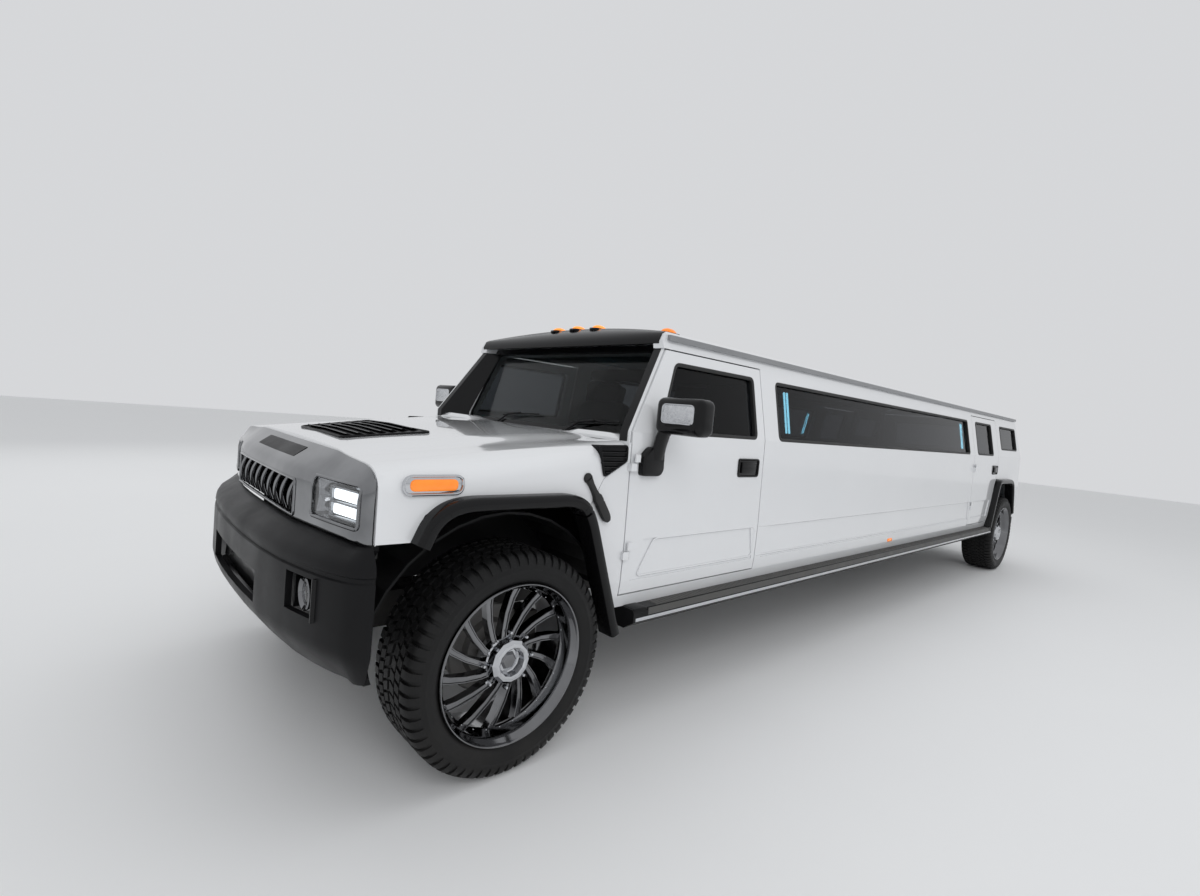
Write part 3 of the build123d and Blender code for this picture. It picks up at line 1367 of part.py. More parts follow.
with BuildPart() as partition:
    add(cabin_wall(front(-1850), 50))
    with Locations((front(-1825), 0, 1540)):
        Box(120, 800, 360, mode=Mode.SUBTRACT)
save(partition.part, "partition")

# Lounge: one long bench that turns across the back, and a bar along the other side
BENCH_SEAT = 1080.0
BENCH_BACK = 1340.0
with BuildPart() as lounge_bench:
    bench_front = front(-1920)
    bench_back = rear(REAR_DOOR_FRONT + 60)
    with Locations(((bench_front + bench_back) / 2, -660, (FLOOR_TOP + BENCH_SEAT) / 2)):
        Box(bench_front - bench_back, 440, BENCH_SEAT - FLOOR_TOP)
    with Locations(((bench_front + bench_back) / 2, -820, (FLOOR_TOP + BENCH_BACK) / 2)):
        Box(bench_front - bench_back, 120, BENCH_BACK - FLOOR_TOP)
    with Locations((rear(-380), 0, (FLOOR_TOP + BENCH_SEAT) / 2)):
        Box(560, 1070, BENCH_SEAT - FLOOR_TOP)
    with Locations((rear(-600), 0, (FLOOR_TOP + BENCH_BACK) / 2)):
        Box(120, 1070, BENCH_BACK - FLOOR_TOP)
save(lounge_bench.part, "lounge_bench")

with BuildPart() as bar_counter:
    bar_front = front(-1980)
    bar_back = rear(REAR_DOOR_FRONT + 300)
    with Locations(((bar_front + bar_back) / 2, 730, (FLOOR_TOP + 1120) / 2)):
        Box(bar_front - bar_back, 280, 1120 - FLOOR_TOP)
    with Locations(((bar_front + bar_back) / 2, 720, 1140)):
        Box(bar_front - bar_back + 20, 320, 40)
save(bar_counter.part, "bar_counter")

# Wheels
BARREL_HALF = TYRE_WIDTH / 2 - 18
BARREL_RADIUS = RIM_RADIUS - 1
WHEEL_FACETS = 40
CAP_FACETS = 12


def wheel_stack(x, side, stations, facets):
    """A faceted turned solid from (out from the wheel's middle, radius) stations."""
    with BuildPart() as stack:
        for out, radius in stations:
            with BuildSketch(Plane.XZ.offset(-side * (WHEEL_Y + out))):
                with Locations((x, TYRE_RADIUS)):
                    RegularPolygon(radius, facets)
        loft(ruled=True)
    return stack.part


def tyre_at(x, side):
    """One tyre, round about its own axle, closed round the rim."""
    half = TYRE_WIDTH / 2
    shoulder = [(half, RIM_RADIUS + 56), (half - 16, TYRE_RADIUS - 26), (half - 46, TYRE_RADIUS - 4)]
    outside = [(-out, radius) for out, radius in shoulder]
    outside += [(0, TYRE_RADIUS)] + shoulder[::-1]
    with BuildPart() as tyre:
        add(wheel_stack(x, side, outside, WHEEL_FACETS))
        hole = [(-half - 5, RIM_RADIUS), (half + 5, RIM_RADIUS)]
        add(wheel_stack(x, side, hole, WHEEL_FACETS), mode=Mode.SUBTRACT)
    return tyre.part


BLADE_FOOT = 62.0
BLADE_WIDTH = 30.0
BLADE_OUT = 58.0
BLADE_DEPTH = 40.0


def blade_outline(reach):
    """One swept blade, from the hub out to the barrel at radius reach."""
    near = reach * 0.9397
    return [
        (BLADE_FOOT, BLADE_WIDTH),
        (near, -reach * 0.342 + 8),
        (reach * 0.9136, -reach * 0.4067),
        (BLADE_FOOT, 0),
    ]


def rim_at(x, side):
    """One rim: barrel, outer lip, brake disc, hub cap and swept blade spokes."""
    edge = BARREL_HALF + 8
    bore = BARREL_RADIUS - BARREL_WALL
    lip = BARREL_RADIUS - RIM_LIP
    with BuildPart() as rim:
        barrel = [(-BARREL_HALF, BARREL_RADIUS), (edge, BARREL_RADIUS)]
        add(wheel_stack(x, side, barrel, WHEEL_FACETS))
        inside = [(-edge, bore), (edge - 70, bore), (edge - 40, lip - 8), (edge + 1, lip)]
        add(wheel_stack(x, side, inside, WHEEL_FACETS), mode=Mode.SUBTRACT)
        add(wheel_stack(x, side, [(-84, DISC_RADIUS), (-56, DISC_RADIUS)], 36))
        cap = [(-60, HUB_CAP_RADIUS), (104, HUB_CAP_RADIUS), (132, HUB_CAP_RADIUS - 26)]
        add(wheel_stack(x, side, cap, CAP_FACETS))
        with BuildSketch(
            Plane(origin=(x, side * (WHEEL_Y + BLADE_OUT), TYRE_RADIUS), x_dir=(side, 0, 0),
                  z_dir=(0, side, 0))
        ):
            with PolarLocations(0, SPOKES):
                Polygon(*blade_outline(bore + 3), align=None)
        extrude(amount=BLADE_DEPTH)
        with BuildSketch(Plane.XZ.offset(-side * (WHEEL_Y - 90))):
            with Locations((x, TYRE_RADIUS)):
                Circle(HUB_BORE)
        extrude(amount=-side * 152, mode=Mode.SUBTRACT)
    return rim.part


CORNERS = (
    ("front_left", FRONT_AXLE, 1),
    ("front_right", FRONT_AXLE, -1),
    ("rear_left", REAR_AXLE, 1),
    ("rear_right", REAR_AXLE, -1),
)
for word, x, side in CORNERS:
    save(tyre_at(x, side), f"tyre_{word}")
    save(rim_at(x, side), f"rim_{word}")
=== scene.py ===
import bpy
import bmesh
import json
from math import atan, cos, pi, radians, sin, tau
from mathutils import Matrix, Vector

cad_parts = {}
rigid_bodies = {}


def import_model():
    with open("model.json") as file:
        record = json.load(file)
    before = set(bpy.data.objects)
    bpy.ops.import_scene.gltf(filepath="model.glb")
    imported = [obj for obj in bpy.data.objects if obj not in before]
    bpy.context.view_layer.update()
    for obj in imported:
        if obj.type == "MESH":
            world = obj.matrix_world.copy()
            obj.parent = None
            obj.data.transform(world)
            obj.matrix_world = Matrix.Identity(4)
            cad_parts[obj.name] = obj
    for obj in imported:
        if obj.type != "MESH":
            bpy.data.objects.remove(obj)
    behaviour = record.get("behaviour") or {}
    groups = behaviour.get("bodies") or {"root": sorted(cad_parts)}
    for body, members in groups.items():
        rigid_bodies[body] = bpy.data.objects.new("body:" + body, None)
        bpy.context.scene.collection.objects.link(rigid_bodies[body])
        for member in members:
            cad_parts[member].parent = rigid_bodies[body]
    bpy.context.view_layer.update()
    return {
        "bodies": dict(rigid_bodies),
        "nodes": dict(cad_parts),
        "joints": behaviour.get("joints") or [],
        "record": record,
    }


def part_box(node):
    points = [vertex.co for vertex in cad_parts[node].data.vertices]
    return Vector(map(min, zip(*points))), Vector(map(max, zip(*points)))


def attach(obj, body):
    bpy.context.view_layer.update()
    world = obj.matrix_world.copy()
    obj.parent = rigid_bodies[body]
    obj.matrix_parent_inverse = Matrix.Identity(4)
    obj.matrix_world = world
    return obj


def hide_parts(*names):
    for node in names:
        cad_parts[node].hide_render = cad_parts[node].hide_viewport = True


# A stretch limousine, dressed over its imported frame. Metres, +X forward, +Y left, +Z up.
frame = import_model()
NODES = frame["nodes"]


# Places read from the frame
def middle(node):
    """The middle of a CAD node's box."""
    foot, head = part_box(node)
    return (Vector(foot) + Vector(head)) / 2


def low(node):
    """The low corner of a CAD node's box."""
    return Vector(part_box(node)[0])


def high(node):
    """The high corner of a CAD node's box."""
    return Vector(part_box(node)[1])


WHEELS = ("front_left", "front_right", "rear_left", "rear_right")
SIDES = (("left", 1), ("right", -1))
FRONT_AXLE = middle("tyre_front_left").x
REAR_AXLE = middle("tyre_rear_left").x


def placed(name, data):
    """An object in the scene that holds some data."""
    holder = bpy.data.objects.new(name, data)
    bpy.context.scene.collection.objects.link(holder)
    return holder


# The photographer's camera: a wide lens low at the left front corner
IMAGE_WIDTH = 1200
FOCAL_PIXELS = 580.83
CAMERA_PLACE = (4.937, 2.827, 1.464)
CAMERA_YAW = -2.3181
CAMERA_PITCH = -0.0587
CAMERA_ROLL = 0.0925


def place_camera():
    """Set the camera from its place, heading, pitch and roll."""
    camera = bpy.data.cameras.new("photo_camera")
    camera.sensor_width = 36.0
    camera.lens = FOCAL_PIXELS / IMAGE_WIDTH * camera.sensor_width
    holder = placed("photo_camera", camera)
    view = Vector((
        cos(CAMERA_PITCH) * cos(CAMERA_YAW), cos(CAMERA_PITCH) * sin(CAMERA_YAW), sin(CAMERA_PITCH)
    ))
    level = view.cross(Vector((0, 0, 1))).normalized()
    above = level.cross(view)
    right = level * cos(CAMERA_ROLL) + above * sin(CAMERA_ROLL)
    up = above * cos(CAMERA_ROLL) - level * sin(CAMERA_ROLL)
    turn = Matrix((right, up, -view)).transposed().to_4x4()
    holder.matrix_world = Matrix.Translation(CAMERA_PLACE) @ turn
    bpy.context.scene.camera = holder


# Shader node groups shared by the finishes
def new_group(name, inputs, outputs):
    """An empty shader group with named float inputs and outputs."""
    group = bpy.data.node_groups.new(name, "ShaderNodeTree")
    for label, kind, value in inputs:
        socket = group.interface.new_socket(name=label, in_out="INPUT", socket_type=kind)
        socket.default_value = value
    for label, kind in outputs:
        group.interface.new_socket(name=label, in_out="OUTPUT", socket_type=kind)
    start = group.nodes.new("NodeGroupInput")
    end = group.nodes.new("NodeGroupOutput")
    return group, start, end


def add_node(tree, kind, **settings):
    """A node with its settings; ins holds the values of its inputs."""
    made = tree.nodes.new(kind)
    for key, value in settings.items():
        if key == "ins":
            for socket, number in value.items():
                made.inputs[socket].default_value = number
        else:
            setattr(made, key, value)
    return made


def join(tree, pairs):
    """Link each (from node, from socket, to node, to socket)."""
    for source, out_name, target, in_name in pairs:
        tree.links.new(source.outputs[out_name], target.inputs[in_name])


def make_road_dust():
    """A mask that is strongest near the ground and breaks up into patches."""
    group, start, end = new_group(
        "road_dust",
        [("Top", "NodeSocketFloat", 0.9), ("Amount", "NodeSocketFloat", 0.5)],
        [("Mask", "NodeSocketFloat")],
    )
    place = add_node(group, "ShaderNodeTexCoord")
    split = add_node(group, "ShaderNodeSeparateXYZ")
    fall = add_node(group, "ShaderNodeMapRange", clamp=True, ins={1: 0.0, 3: 1.0, 4: 0.0})
    patch = add_node(group, "ShaderNodeTexNoise", ins={"Scale": 7.0, "Detail": 6.0, "Roughness": 0.65})
    spread = add_node(group, "ShaderNodeMapRange", clamp=True, ins={1: 0.35, 2: 0.7, 3: 0.15, 4: 1.0})
    blend = add_node(group, "ShaderNodeMath", operation="MULTIPLY")
    scale = add_node(group, "ShaderNodeMath", operation="MULTIPLY", use_clamp=True)
    join(group, [
        (place, "Object", split, 0),
        (split, "Z", fall, 0),
        (start, "Top", fall, 2),
        (place, "Object", patch, "Vector"),
        (patch, "Fac", spread, 0),
        (fall, 0, blend, 0),
        (spread, 0, blend, 1),
        (blend, 0, scale, 0),
        (start, "Amount", scale, 1),
        (scale, 0, end, "Mask"),
    ])
    return group


def make_surface_grain():
    """Fine grain for bumps, and a slow drift for colour and roughness."""
    group, start, end = new_group(
        "surface_grain",
        [("Grain Scale", "NodeSocketFloat", 400.0), ("Drift Scale", "NodeSocketFloat", 3.0)],
        [("Grain", "NodeSocketFloat"), ("Drift", "NodeSocketFloat")],
    )
    place = add_node(group, "ShaderNodeTexCoord")
    grain = add_node(group, "ShaderNodeTexNoise", ins={"Detail": 3.0, "Roughness": 0.6})
    drift = add_node(group, "ShaderNodeTexNoise", ins={"Detail": 5.0, "Roughness": 0.55})
    join(group, [
        (place, "Object", grain, "Vector"),
        (place, "Object", drift, "Vector"),
        (start, "Grain Scale", grain, "Scale"),
        (start, "Drift Scale", drift, "Scale"),
        (grain, "Fac", end, "Grain"),
        (drift, "Fac", end, "Drift"),
    ])
    return group


ROAD_DUST = make_road_dust()
SURFACE_GRAIN = make_surface_grain()
DUST_COLOUR = (0.23, 0.21, 0.19, 1.0)
DUST_DULL = 0.5
COAT_ROUGHNESS = 0.03
SOLID_IOR = 1.5
PANE_IOR = 1.22
LENS_IOR = 1.45


def finish(
    name, dark, light, rough, metallic=0.0, coat=0.0, grain=400.0, bump=0.0, bump_depth=0.0005,
    drift=3.0, dust=0.0, dust_top=0.9, specular=0.5,
):
    """A finish whose colour drifts between dark and light, with grain, dust and a coat."""
    made = bpy.data.materials.new(name)
    made.use_nodes = True
    tree = made.node_tree
    shader = tree.nodes["Principled BSDF"]
    for label, value in (
        ("Metallic", metallic), ("Coat Weight", coat), ("Coat Roughness", COAT_ROUGHNESS),
        ("IOR", SOLID_IOR), ("Specular IOR Level", specular),
    ):
        shader.inputs[label].default_value = value
    sizes = {"Grain Scale": grain, "Drift Scale": drift}
    noise = add_node(tree, "ShaderNodeGroup", node_tree=SURFACE_GRAIN, ins=sizes)
    dirt = add_node(tree, "ShaderNodeGroup", node_tree=ROAD_DUST, ins={"Top": dust_top, "Amount": dust})
    # The drift between dark and light is a random change of tone, and on the bright chrome it is a painted
    # reflection.
    tones = {"A": (*dark, 1.0), "B": (*light, 1.0)}
    tone_and_reflection = add_node(tree, "ShaderNodeMix", data_type="RGBA", ins=tones)
    cover = add_node(tree, "ShaderNodeMix", data_type="RGBA", ins={"B": DUST_COLOUR})
    sheen = {1: 0.3, 2: 0.7, 3: rough[0], 4: rough[1]}
    spread = add_node(tree, "ShaderNodeMapRange", clamp=True, ins=sheen)
    dull = add_node(tree, "ShaderNodeMath", operation="MULTIPLY_ADD", use_clamp=True, ins={1: DUST_DULL})
    relief = add_node(tree, "ShaderNodeBump", ins={"Strength": bump, "Distance": bump_depth})
    join(tree, [
        (noise, "Drift", tone_and_reflection, "Factor"),
        (tone_and_reflection, "Result", cover, "A"),
        (dirt, "Mask", cover, "Factor"),
        (cover, "Result", shader, "Base Color"),
        (noise, "Drift", spread, 0),
        (dirt, "Mask", dull, 0),
        (spread, 0, dull, 2),
        (dull, 0, shader, "Roughness"),
        (noise, "Grain", relief, "Height"),
        (relief, "Normal", shader, "Normal"),
    ])
    return made


def glow(material, colour, strength):
    """Give a lens its own light."""
    shader = material.node_tree.nodes["Principled BSDF"]
    shader.inputs["Emission Color"].default_value = (*colour, 1.0)
    shader.inputs["Emission Strength"].default_value = strength
    return material


def see_through(material, ior):
    """Let light through a pane or a lens."""
    shader = material.node_tree.nodes["Principled BSDF"]
    shader.inputs["Transmission Weight"].default_value = 1.0
    shader.inputs["IOR"].default_value = ior
    return material


WHITE_PAINT = finish(
    "white_paint", (0.76, 0.77, 0.79), (0.8, 0.81, 0.825), (0.1, 0.16), coat=1.0, grain=900.0,
    bump=0.05, bump_depth=0.0002, drift=1.5, dust=0.22, dust_top=0.72,
)
TEXTURED_PLASTIC = finish(
    "textured_plastic", (0.004, 0.004, 0.0045), (0.01, 0.01, 0.011), (0.3, 0.45), grain=1400.0,
    bump=0.3, drift=5.0, dust=0.02, dust_top=0.8, specular=0.15,
)
GLOSS_BLACK = finish(
    "gloss_black", (0.003, 0.003, 0.0035), (0.006, 0.006, 0.0065), (0.12, 0.22), coat=0.04, grain=900.0,
    bump=0.04, drift=4.0, dust=0.01, specular=0.24,
)
FRAME_STEEL = finish(
    "frame_steel", (0.008, 0.008, 0.009), (0.022, 0.021, 0.02), (0.4, 0.65), grain=300.0,
    bump=0.3, bump_depth=0.001, drift=8.0, dust=0.35, specular=0.3,
)
# The bright chrome's colour drifts in wide blotches from a dark to a pale grey: painted reflections, not a
# change in the metal.
BRIGHT_CHROME = finish(
    "bright_chrome", (0.1, 0.102, 0.107), (0.4, 0.405, 0.415), (0.04, 0.1), metallic=1.0,
    grain=600.0, bump=0.01, drift=4.0, dust=0.02,
)
WHEEL_CHROME = finish(
    "wheel_chrome", (0.15, 0.152, 0.158), (0.27, 0.272, 0.28), (0.05, 0.13), metallic=1.0,
    grain=500.0, bump=0.015, drift=9.0, dust=0.1, dust_top=0.7,
)
CAP_CHROME = finish(
    "cap_chrome", (0.5, 0.51, 0.53), (0.66, 0.67, 0.69), (0.04, 0.1), metallic=1.0, grain=500.0,
    bump=0.015, drift=9.0, dust=0.06, dust_top=0.7,
)
CAST_METAL = finish(
    "cast_metal", (0.22, 0.22, 0.22), (0.35, 0.34, 0.33), (0.4, 0.6), metallic=0.8, grain=350.0,
    bump=0.5, bump_depth=0.001, drift=10.0, dust=0.6,
)
TYRE_RUBBER = finish(
    "tyre_rubber", (0.005, 0.005, 0.0055), (0.011, 0.011, 0.011), (0.42, 0.62), grain=700.0,
    bump=0.3, bump_depth=0.0008, drift=12.0, dust=0.05, dust_top=0.8, specular=0.24,
)
SEAL_RUBBER = finish(
    "seal_rubber", (0.008, 0.008, 0.008), (0.02, 0.02, 0.02), (0.45, 0.6), grain=900.0, bump=0.2,
)
SIDE_GLASS = see_through(finish(
    "side_glass", (0.085, 0.09, 0.1), (0.11, 0.117, 0.13), (0.0, 0.02), grain=200.0, drift=1.2,
), PANE_IOR)
SCREEN_GLASS = see_through(finish(
    "screen_glass", (0.26, 0.28, 0.28), (0.32, 0.34, 0.34), (0.0, 0.02), grain=200.0, drift=1.2,
), PANE_IOR)
MIRROR_CHROME = finish(
    "mirror_chrome", (0.45, 0.46, 0.48), (0.8, 0.81, 0.83), (0.05, 0.15), metallic=1.0, grain=95.0,
    bump=0.9, bump_depth=0.004, drift=60.0,
)
AMBER_GLOW = glow(finish(
    "amber_glow", (0.6, 0.14, 0.01), (0.78, 0.24, 0.02), (0.12, 0.2), coat=0.6, grain=300.0,
    bump=0.15, drift=30.0,
), (1.0, 0.24, 0.01), 0.5)
AMBER_LENS = glow(finish(
    "amber_lens", (0.85, 0.22, 0.02), (1.0, 0.35, 0.04), (0.12, 0.2), coat=0.6, grain=300.0,
    bump=0.15, drift=30.0,
), (1.0, 0.28, 0.03), 0.8)
RED_LENS = glow(finish(
    "red_lens", (0.45, 0.01, 0.01), (0.65, 0.03, 0.02), (0.1, 0.2), coat=0.6, grain=300.0,
    bump=0.15, drift=30.0,
), (0.8, 0.02, 0.01), 0.15)
LAMP_LENS = see_through(finish(
    "lamp_lens", (0.93, 0.95, 0.96), (0.97, 0.98, 1.0), (0.02, 0.05), grain=200.0,
), LENS_IOR)
LAMP_LIGHT = glow(finish(
    "lamp_light", (0.85, 0.88, 0.92), (0.95, 0.97, 1.0), (0.2, 0.3), grain=200.0,
), (0.9, 0.96, 1.0), 1.6)
STEP_TREAD = finish(
    "step_tread", (0.045, 0.045, 0.044), (0.085, 0.084, 0.08), (0.4, 0.6), grain=1600.0, bump=0.4,
    drift=9.0, dust=0.3, dust_top=0.8,
)
CABIN_LIGHT = glow(finish(
    "cabin_light", (0.45, 0.85, 0.95), (0.6, 0.92, 1.0), (0.2, 0.3), grain=200.0,
), (0.35, 0.85, 1.0), 7.0)
GREY_TRIM = finish(
    "grey_trim", (0.2, 0.205, 0.215), (0.3, 0.305, 0.315), (0.3, 0.45), grain=1200.0, bump=0.25,
    drift=5.0, dust=0.3, dust_top=0.8,
)
BLACK_LEATHER = finish(
    "black_leather", (0.012, 0.012, 0.013), (0.03, 0.029, 0.028), (0.35, 0.5), grain=220.0,
    bump=0.5, bump_depth=0.001, drift=6.0,
)
BAR_WOOD = finish(
    "bar_wood", (0.05, 0.02, 0.01), (0.12, 0.055, 0.025), (0.15, 0.3), coat=0.7, grain=60.0,
    bump=0.1, drift=9.0,
)

NODE_FINISHES = {
    WHITE_PAINT: (
        "side_wall_left", "side_wall_right", "roof_panel", "windscreen_frame", "rear_frame",
        "hood_shell", "tailgate", "front_door_left", "front_door_right", "rear_door_left",
        "rear_door_right",
    ),
    TEXTURED_PLASTIC: (
        "cowl", "arch_liners", "body_flares", "hood_flares", "hood_vents", "front_bumper",
        "rear_bumper", "dashboard", "step_boards",
    ),
    GLOSS_BLACK: ("mirror_left", "mirror_right"),
    FRAME_STEEL: (
        "floor_pan", "chassis_frame", "tow_receiver", "front_suspension", "rear_axle",
        "knuckle_left", "knuckle_right",
    ),
    CAST_METAL: ("engine_block", "drive_line"),
    BRIGHT_CHROME: ("grille_surround", "grille_bars"),
    WHEEL_CHROME: tuple(f"rim_{word}" for word in WHEELS),
    TYRE_RUBBER: tuple(f"tyre_{word}" for word in WHEELS),
    SEAL_RUBBER: ("hood_latches",),
    SIDE_GLASS: (
        "side_glass", "front_door_glass_left", "front_door_glass_right", "rear_door_glass_left",
        "rear_door_glass_right", "tailgate_glass",
    ),
    SCREEN_GLASS: ("windscreen",),
    AMBER_LENS: ("roof_lamps", "marker_lamps"),
    RED_LENS: ("tail_lamps",),
    LAMP_LENS: ("headlamps", "fog_lamps"),
    GREY_TRIM: ("drip_rails",),
    BLACK_LEATHER: ("front_seats", "partition", "lounge_bench"),
    BAR_WOOD: ("bar_counter",),
}
for material, names in NODE_FINISHES.items():
    for name in names:
        NODES[name].data.materials.clear()
        NODES[name].data.materials.append(material)


# Mesh making
def merge(shape, other, move=None):
    """Add one bmesh to another, moved by a matrix, and free it."""
    if move is not None:
        bmesh.ops.transform(other, matrix=move, verts=other.verts)
    carrier = bpy.data.meshes.new("carrier")
    other.to_mesh(carrier)
    other.free()
    shape.from_mesh(carrier)
    bpy.data.meshes.remove(carrier)


def skin_rings(shape, rings, closed=True, caps=True):
    """Faces between rings of points; closed joins each ring's ends, caps shuts both ends."""
    made = [[shape.verts.new(point) for point in ring] for ring in rings]
    span = len(rings[0]) if closed else len(rings[0]) - 1
    for near, far in zip(made, made[1:]):
        for step in range(span):
            after = (step + 1) % len(near)
            shape.faces.new((near[step], near[after], far[after], far[step]))
    if caps:
        shape.faces.new(made[0][::-1])
        shape.faces.new(made[-1])


def turned(profile, steps, closed=True):
    """A shape turned about the Y axis from (out, radius) points."""
    shape = bmesh.new()
    rings = []
    for step in range(steps + 1):
        angle = tau * (step % steps) / steps
        rings.append([(radius * cos(angle), out, radius * sin(angle)) for out, radius in profile])
    skin_rings(shape, rings, closed=closed, caps=False)
    bmesh.ops.remove_doubles(shape, verts=shape.verts, dist=0.00001)
    return shape


NO_TURN = Matrix()


def block(shape, centre, size, edge=0.0, steps=2, turn=NO_TURN):
    """A box with softened edges."""
    part = bmesh.new()
    bmesh.ops.create_cube(part, size=1.0)
    bmesh.ops.scale(part, vec=size, verts=part.verts)
    if edge > 0:
        bmesh.ops.bevel(
            part, geom=part.edges[:], offset=edge, segments=steps, profile=0.5, affect="EDGES"
        )
    merge(shape, part, Matrix.Translation(centre) @ turn)


def corner_curve(before, corner, after, radius, steps):
    """The points of one rounded corner."""
    corner = Vector(corner)
    near = Vector(before) - corner
    far = Vector(after) - corner
    start = corner + near.normalized() * min(radius, near.length * 0.49)
    end = corner + far.normalized() * min(radius, far.length * 0.49)
    made = []
    for step in range(steps + 1):
        u = step / steps
        made.append(start * (1 - u) ** 2 + corner * 2 * u * (1 - u) + end * u ** 2)
    return made


def rounded(points, radius, steps=5):
    """A closed flat outline with its corners rounded."""
    points = list(points)
    made = []
    for before, corner, after in zip(points[-1:] + points, points, points[1:] + points[:1]):
        made += corner_curve(before, corner, after, radius, steps)
    return made


def softened(points, radius, steps=5):
    """An open line with its inner corners rounded."""
    made = [Vector(points[0])]
    for before, corner, after in zip(points, points[1:], points[2:]):
        made += corner_curve(before, corner, after, radius, steps)
    made.append(Vector(points[-1]))
    return made


def box_line(left, foot, right, head, radius, steps=5):
    """A four-sided outline with rounded corners."""
    return rounded([(left, foot), (right, foot), (right, head), (left, head)], radius, steps)


def oblong(half_wide, half_high, radius, steps=5):
    """A four-sided outline about the origin with rounded corners."""
    return box_line(-half_wide, -half_high, half_wide, half_high, radius, steps)


def evenly(half, count):
    """Places in even steps from one side to the other."""
    return [half * (2 * index / count - 1) for index in range(count + 1)]


def both_ways(steps):
    """Places on one side, from the middle out, and their mirror images."""
    return [-y for y in steps[:0:-1]] + list(steps)


def side_frame(side, x, out, z, lean=0.0):
    """A frame that faces outward from one side of the car."""
    return Matrix(((1, 0, 0, x), (0, lean * side, side, side * out), (0, 1, 0, z), (0, 0, 0, 1)))


def end_frame(way, x, y, z):
    """A frame that faces ahead for a way of 1, and behind for -1."""
    return Matrix(((0, 0, way, x), (1, 0, 0, y), (0, 1, 0, z), (0, 0, 0, 1)))


# Points a shape that is turned about the Y axis ahead
FACE_AHEAD = Matrix.Rotation(-pi / 2, 4, "Z")


def moved(shape, *moves):
    """A shape after each of its moves: a matrix, or a place to go to."""
    for move in moves:
        matrix = move if isinstance(move, Matrix) else Matrix.Translation(move)
        bmesh.ops.transform(shape, matrix=matrix, verts=shape.verts)
    return shape


def plate(shape, outline, depth, frame, edge=0.0, steps=2):
    """A flat outline given depth, its outer edges softened, set in a frame."""
    part = bmesh.new()
    face = part.faces.new([part.verts.new((a, b, 0.0)) for a, b in outline])
    raised = bmesh.ops.extrude_face_region(part, geom=[face])["geom"]
    top = [made for made in raised if isinstance(made, bmesh.types.BMVert)]
    bmesh.ops.translate(part, vec=(0, 0, depth), verts=top)
    if edge > 0:
        above = set(top)
        rim = [line for line in part.edges if line.verts[0] in above and line.verts[1] in above]
        bmesh.ops.bevel(
            part, geom=rim, offset=edge, segments=steps, profile=0.5, affect="EDGES"
        )
    merge(shape, part, frame)


def tube(shape, points, radius, sides=10):
    """A round bar along points."""
    points = [Vector(point) for point in points]
    rings = []
    across = None
    for index, point in enumerate(points):
        before = points[max(index - 1, 0)]
        after = points[min(index + 1, len(points) - 1)]
        run = (after - before).normalized()
        if across is None:
            across = run.orthogonal().normalized()
        across = (across - run * across.dot(run)).normalized()
        over = run.cross(across)
        rings.append([
            point + (across * cos(tau * side / sides) + over * sin(tau * side / sides)) * radius
            for side in range(sides)
        ])
    skin_rings(shape, rings)


def hoop(shape, points, radius):
    """A round bar along a closed line."""
    tube(shape, points + points[:1], radius, 8)


def skin_grid(shape, grid, steps, heights, holed):
    """Faces between columns of points, left open where holed says so at a cell's middle."""
    for index in range(len(steps) - 1):
        near = grid[index]
        far = grid[index + 1]
        for level in range(len(heights) - 1):
            y = abs(steps[index] + steps[index + 1]) / 2
            z = (heights[level] + heights[level + 1]) / 2
            if not holed(y, z):
                shape.faces.new((near[level], far[level], far[level + 1], near[level + 1]))


def finished(name, shape, material, body, smooth=35.0, instead_of=()):
    """Turn a bmesh into a finished piece that rides on a body and may replace CAD nodes."""
    bmesh.ops.remove_doubles(shape, verts=shape.verts, dist=0.00005)
    bmesh.ops.recalc_face_normals(shape, faces=shape.faces)
    mesh = bpy.data.meshes.new(name)
    shape.to_mesh(mesh)
    shape.free()
    return settled(name, mesh, material, body, smooth, instead_of)


def settled(name, mesh, material, body, smooth, instead_of):
    """Give a mesh its object, finish and body."""
    for face in mesh.polygons:
        face.use_smooth = True
    mesh.set_sharp_from_angle(angle=radians(smooth))
    mesh.materials.clear()
    mesh.materials.append(material)
    piece = placed(name, mesh)
    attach(piece, body)
    if instead_of:
        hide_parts(*instead_of)
    return piece


# Geometry Nodes trees for what repeats
def start_growth(name, inputs):
    """A tree that puts its seed on numbered points: its nodes for the rest to link to."""
    tree = bpy.data.node_groups.new(name, "GeometryNodeTree")
    for label, kind in (
        ("Seed", "NodeSocketGeometry"), ("Copies", "NodeSocketInt"), *inputs,
        ("Finish", "NodeSocketMaterial"),
    ):
        tree.interface.new_socket(name=label, in_out="INPUT", socket_type=kind)
    tree.interface.new_socket(name="Shape", in_out="OUTPUT", socket_type="NodeSocketGeometry")
    start = tree.nodes.new("NodeGroupInput")
    end = tree.nodes.new("NodeGroupOutput")
    points = tree.nodes.new("GeometryNodePoints")
    index = tree.nodes.new("GeometryNodeInputIndex")
    copies = tree.nodes.new("GeometryNodeInstanceOnPoints")
    join(tree, [
        (start, "Copies", points, "Count"),
        (points, "Points", copies, "Points"),
        (start, "Seed", copies, "Instance"),
    ])
    return tree, start, end, points, index, copies


def end_growth(tree, start, copies, end):
    """End a tree in real geometry with its finish on it."""
    real = tree.nodes.new("GeometryNodeRealizeInstances")
    coat = tree.nodes.new("GeometryNodeSetMaterial")
    join(tree, [
        (copies, "Instances", real, "Geometry"),
        (real, "Geometry", coat, "Geometry"),
        (start, "Finish", coat, "Material"),
        (coat, "Geometry", end, "Shape"),
    ])
    return tree


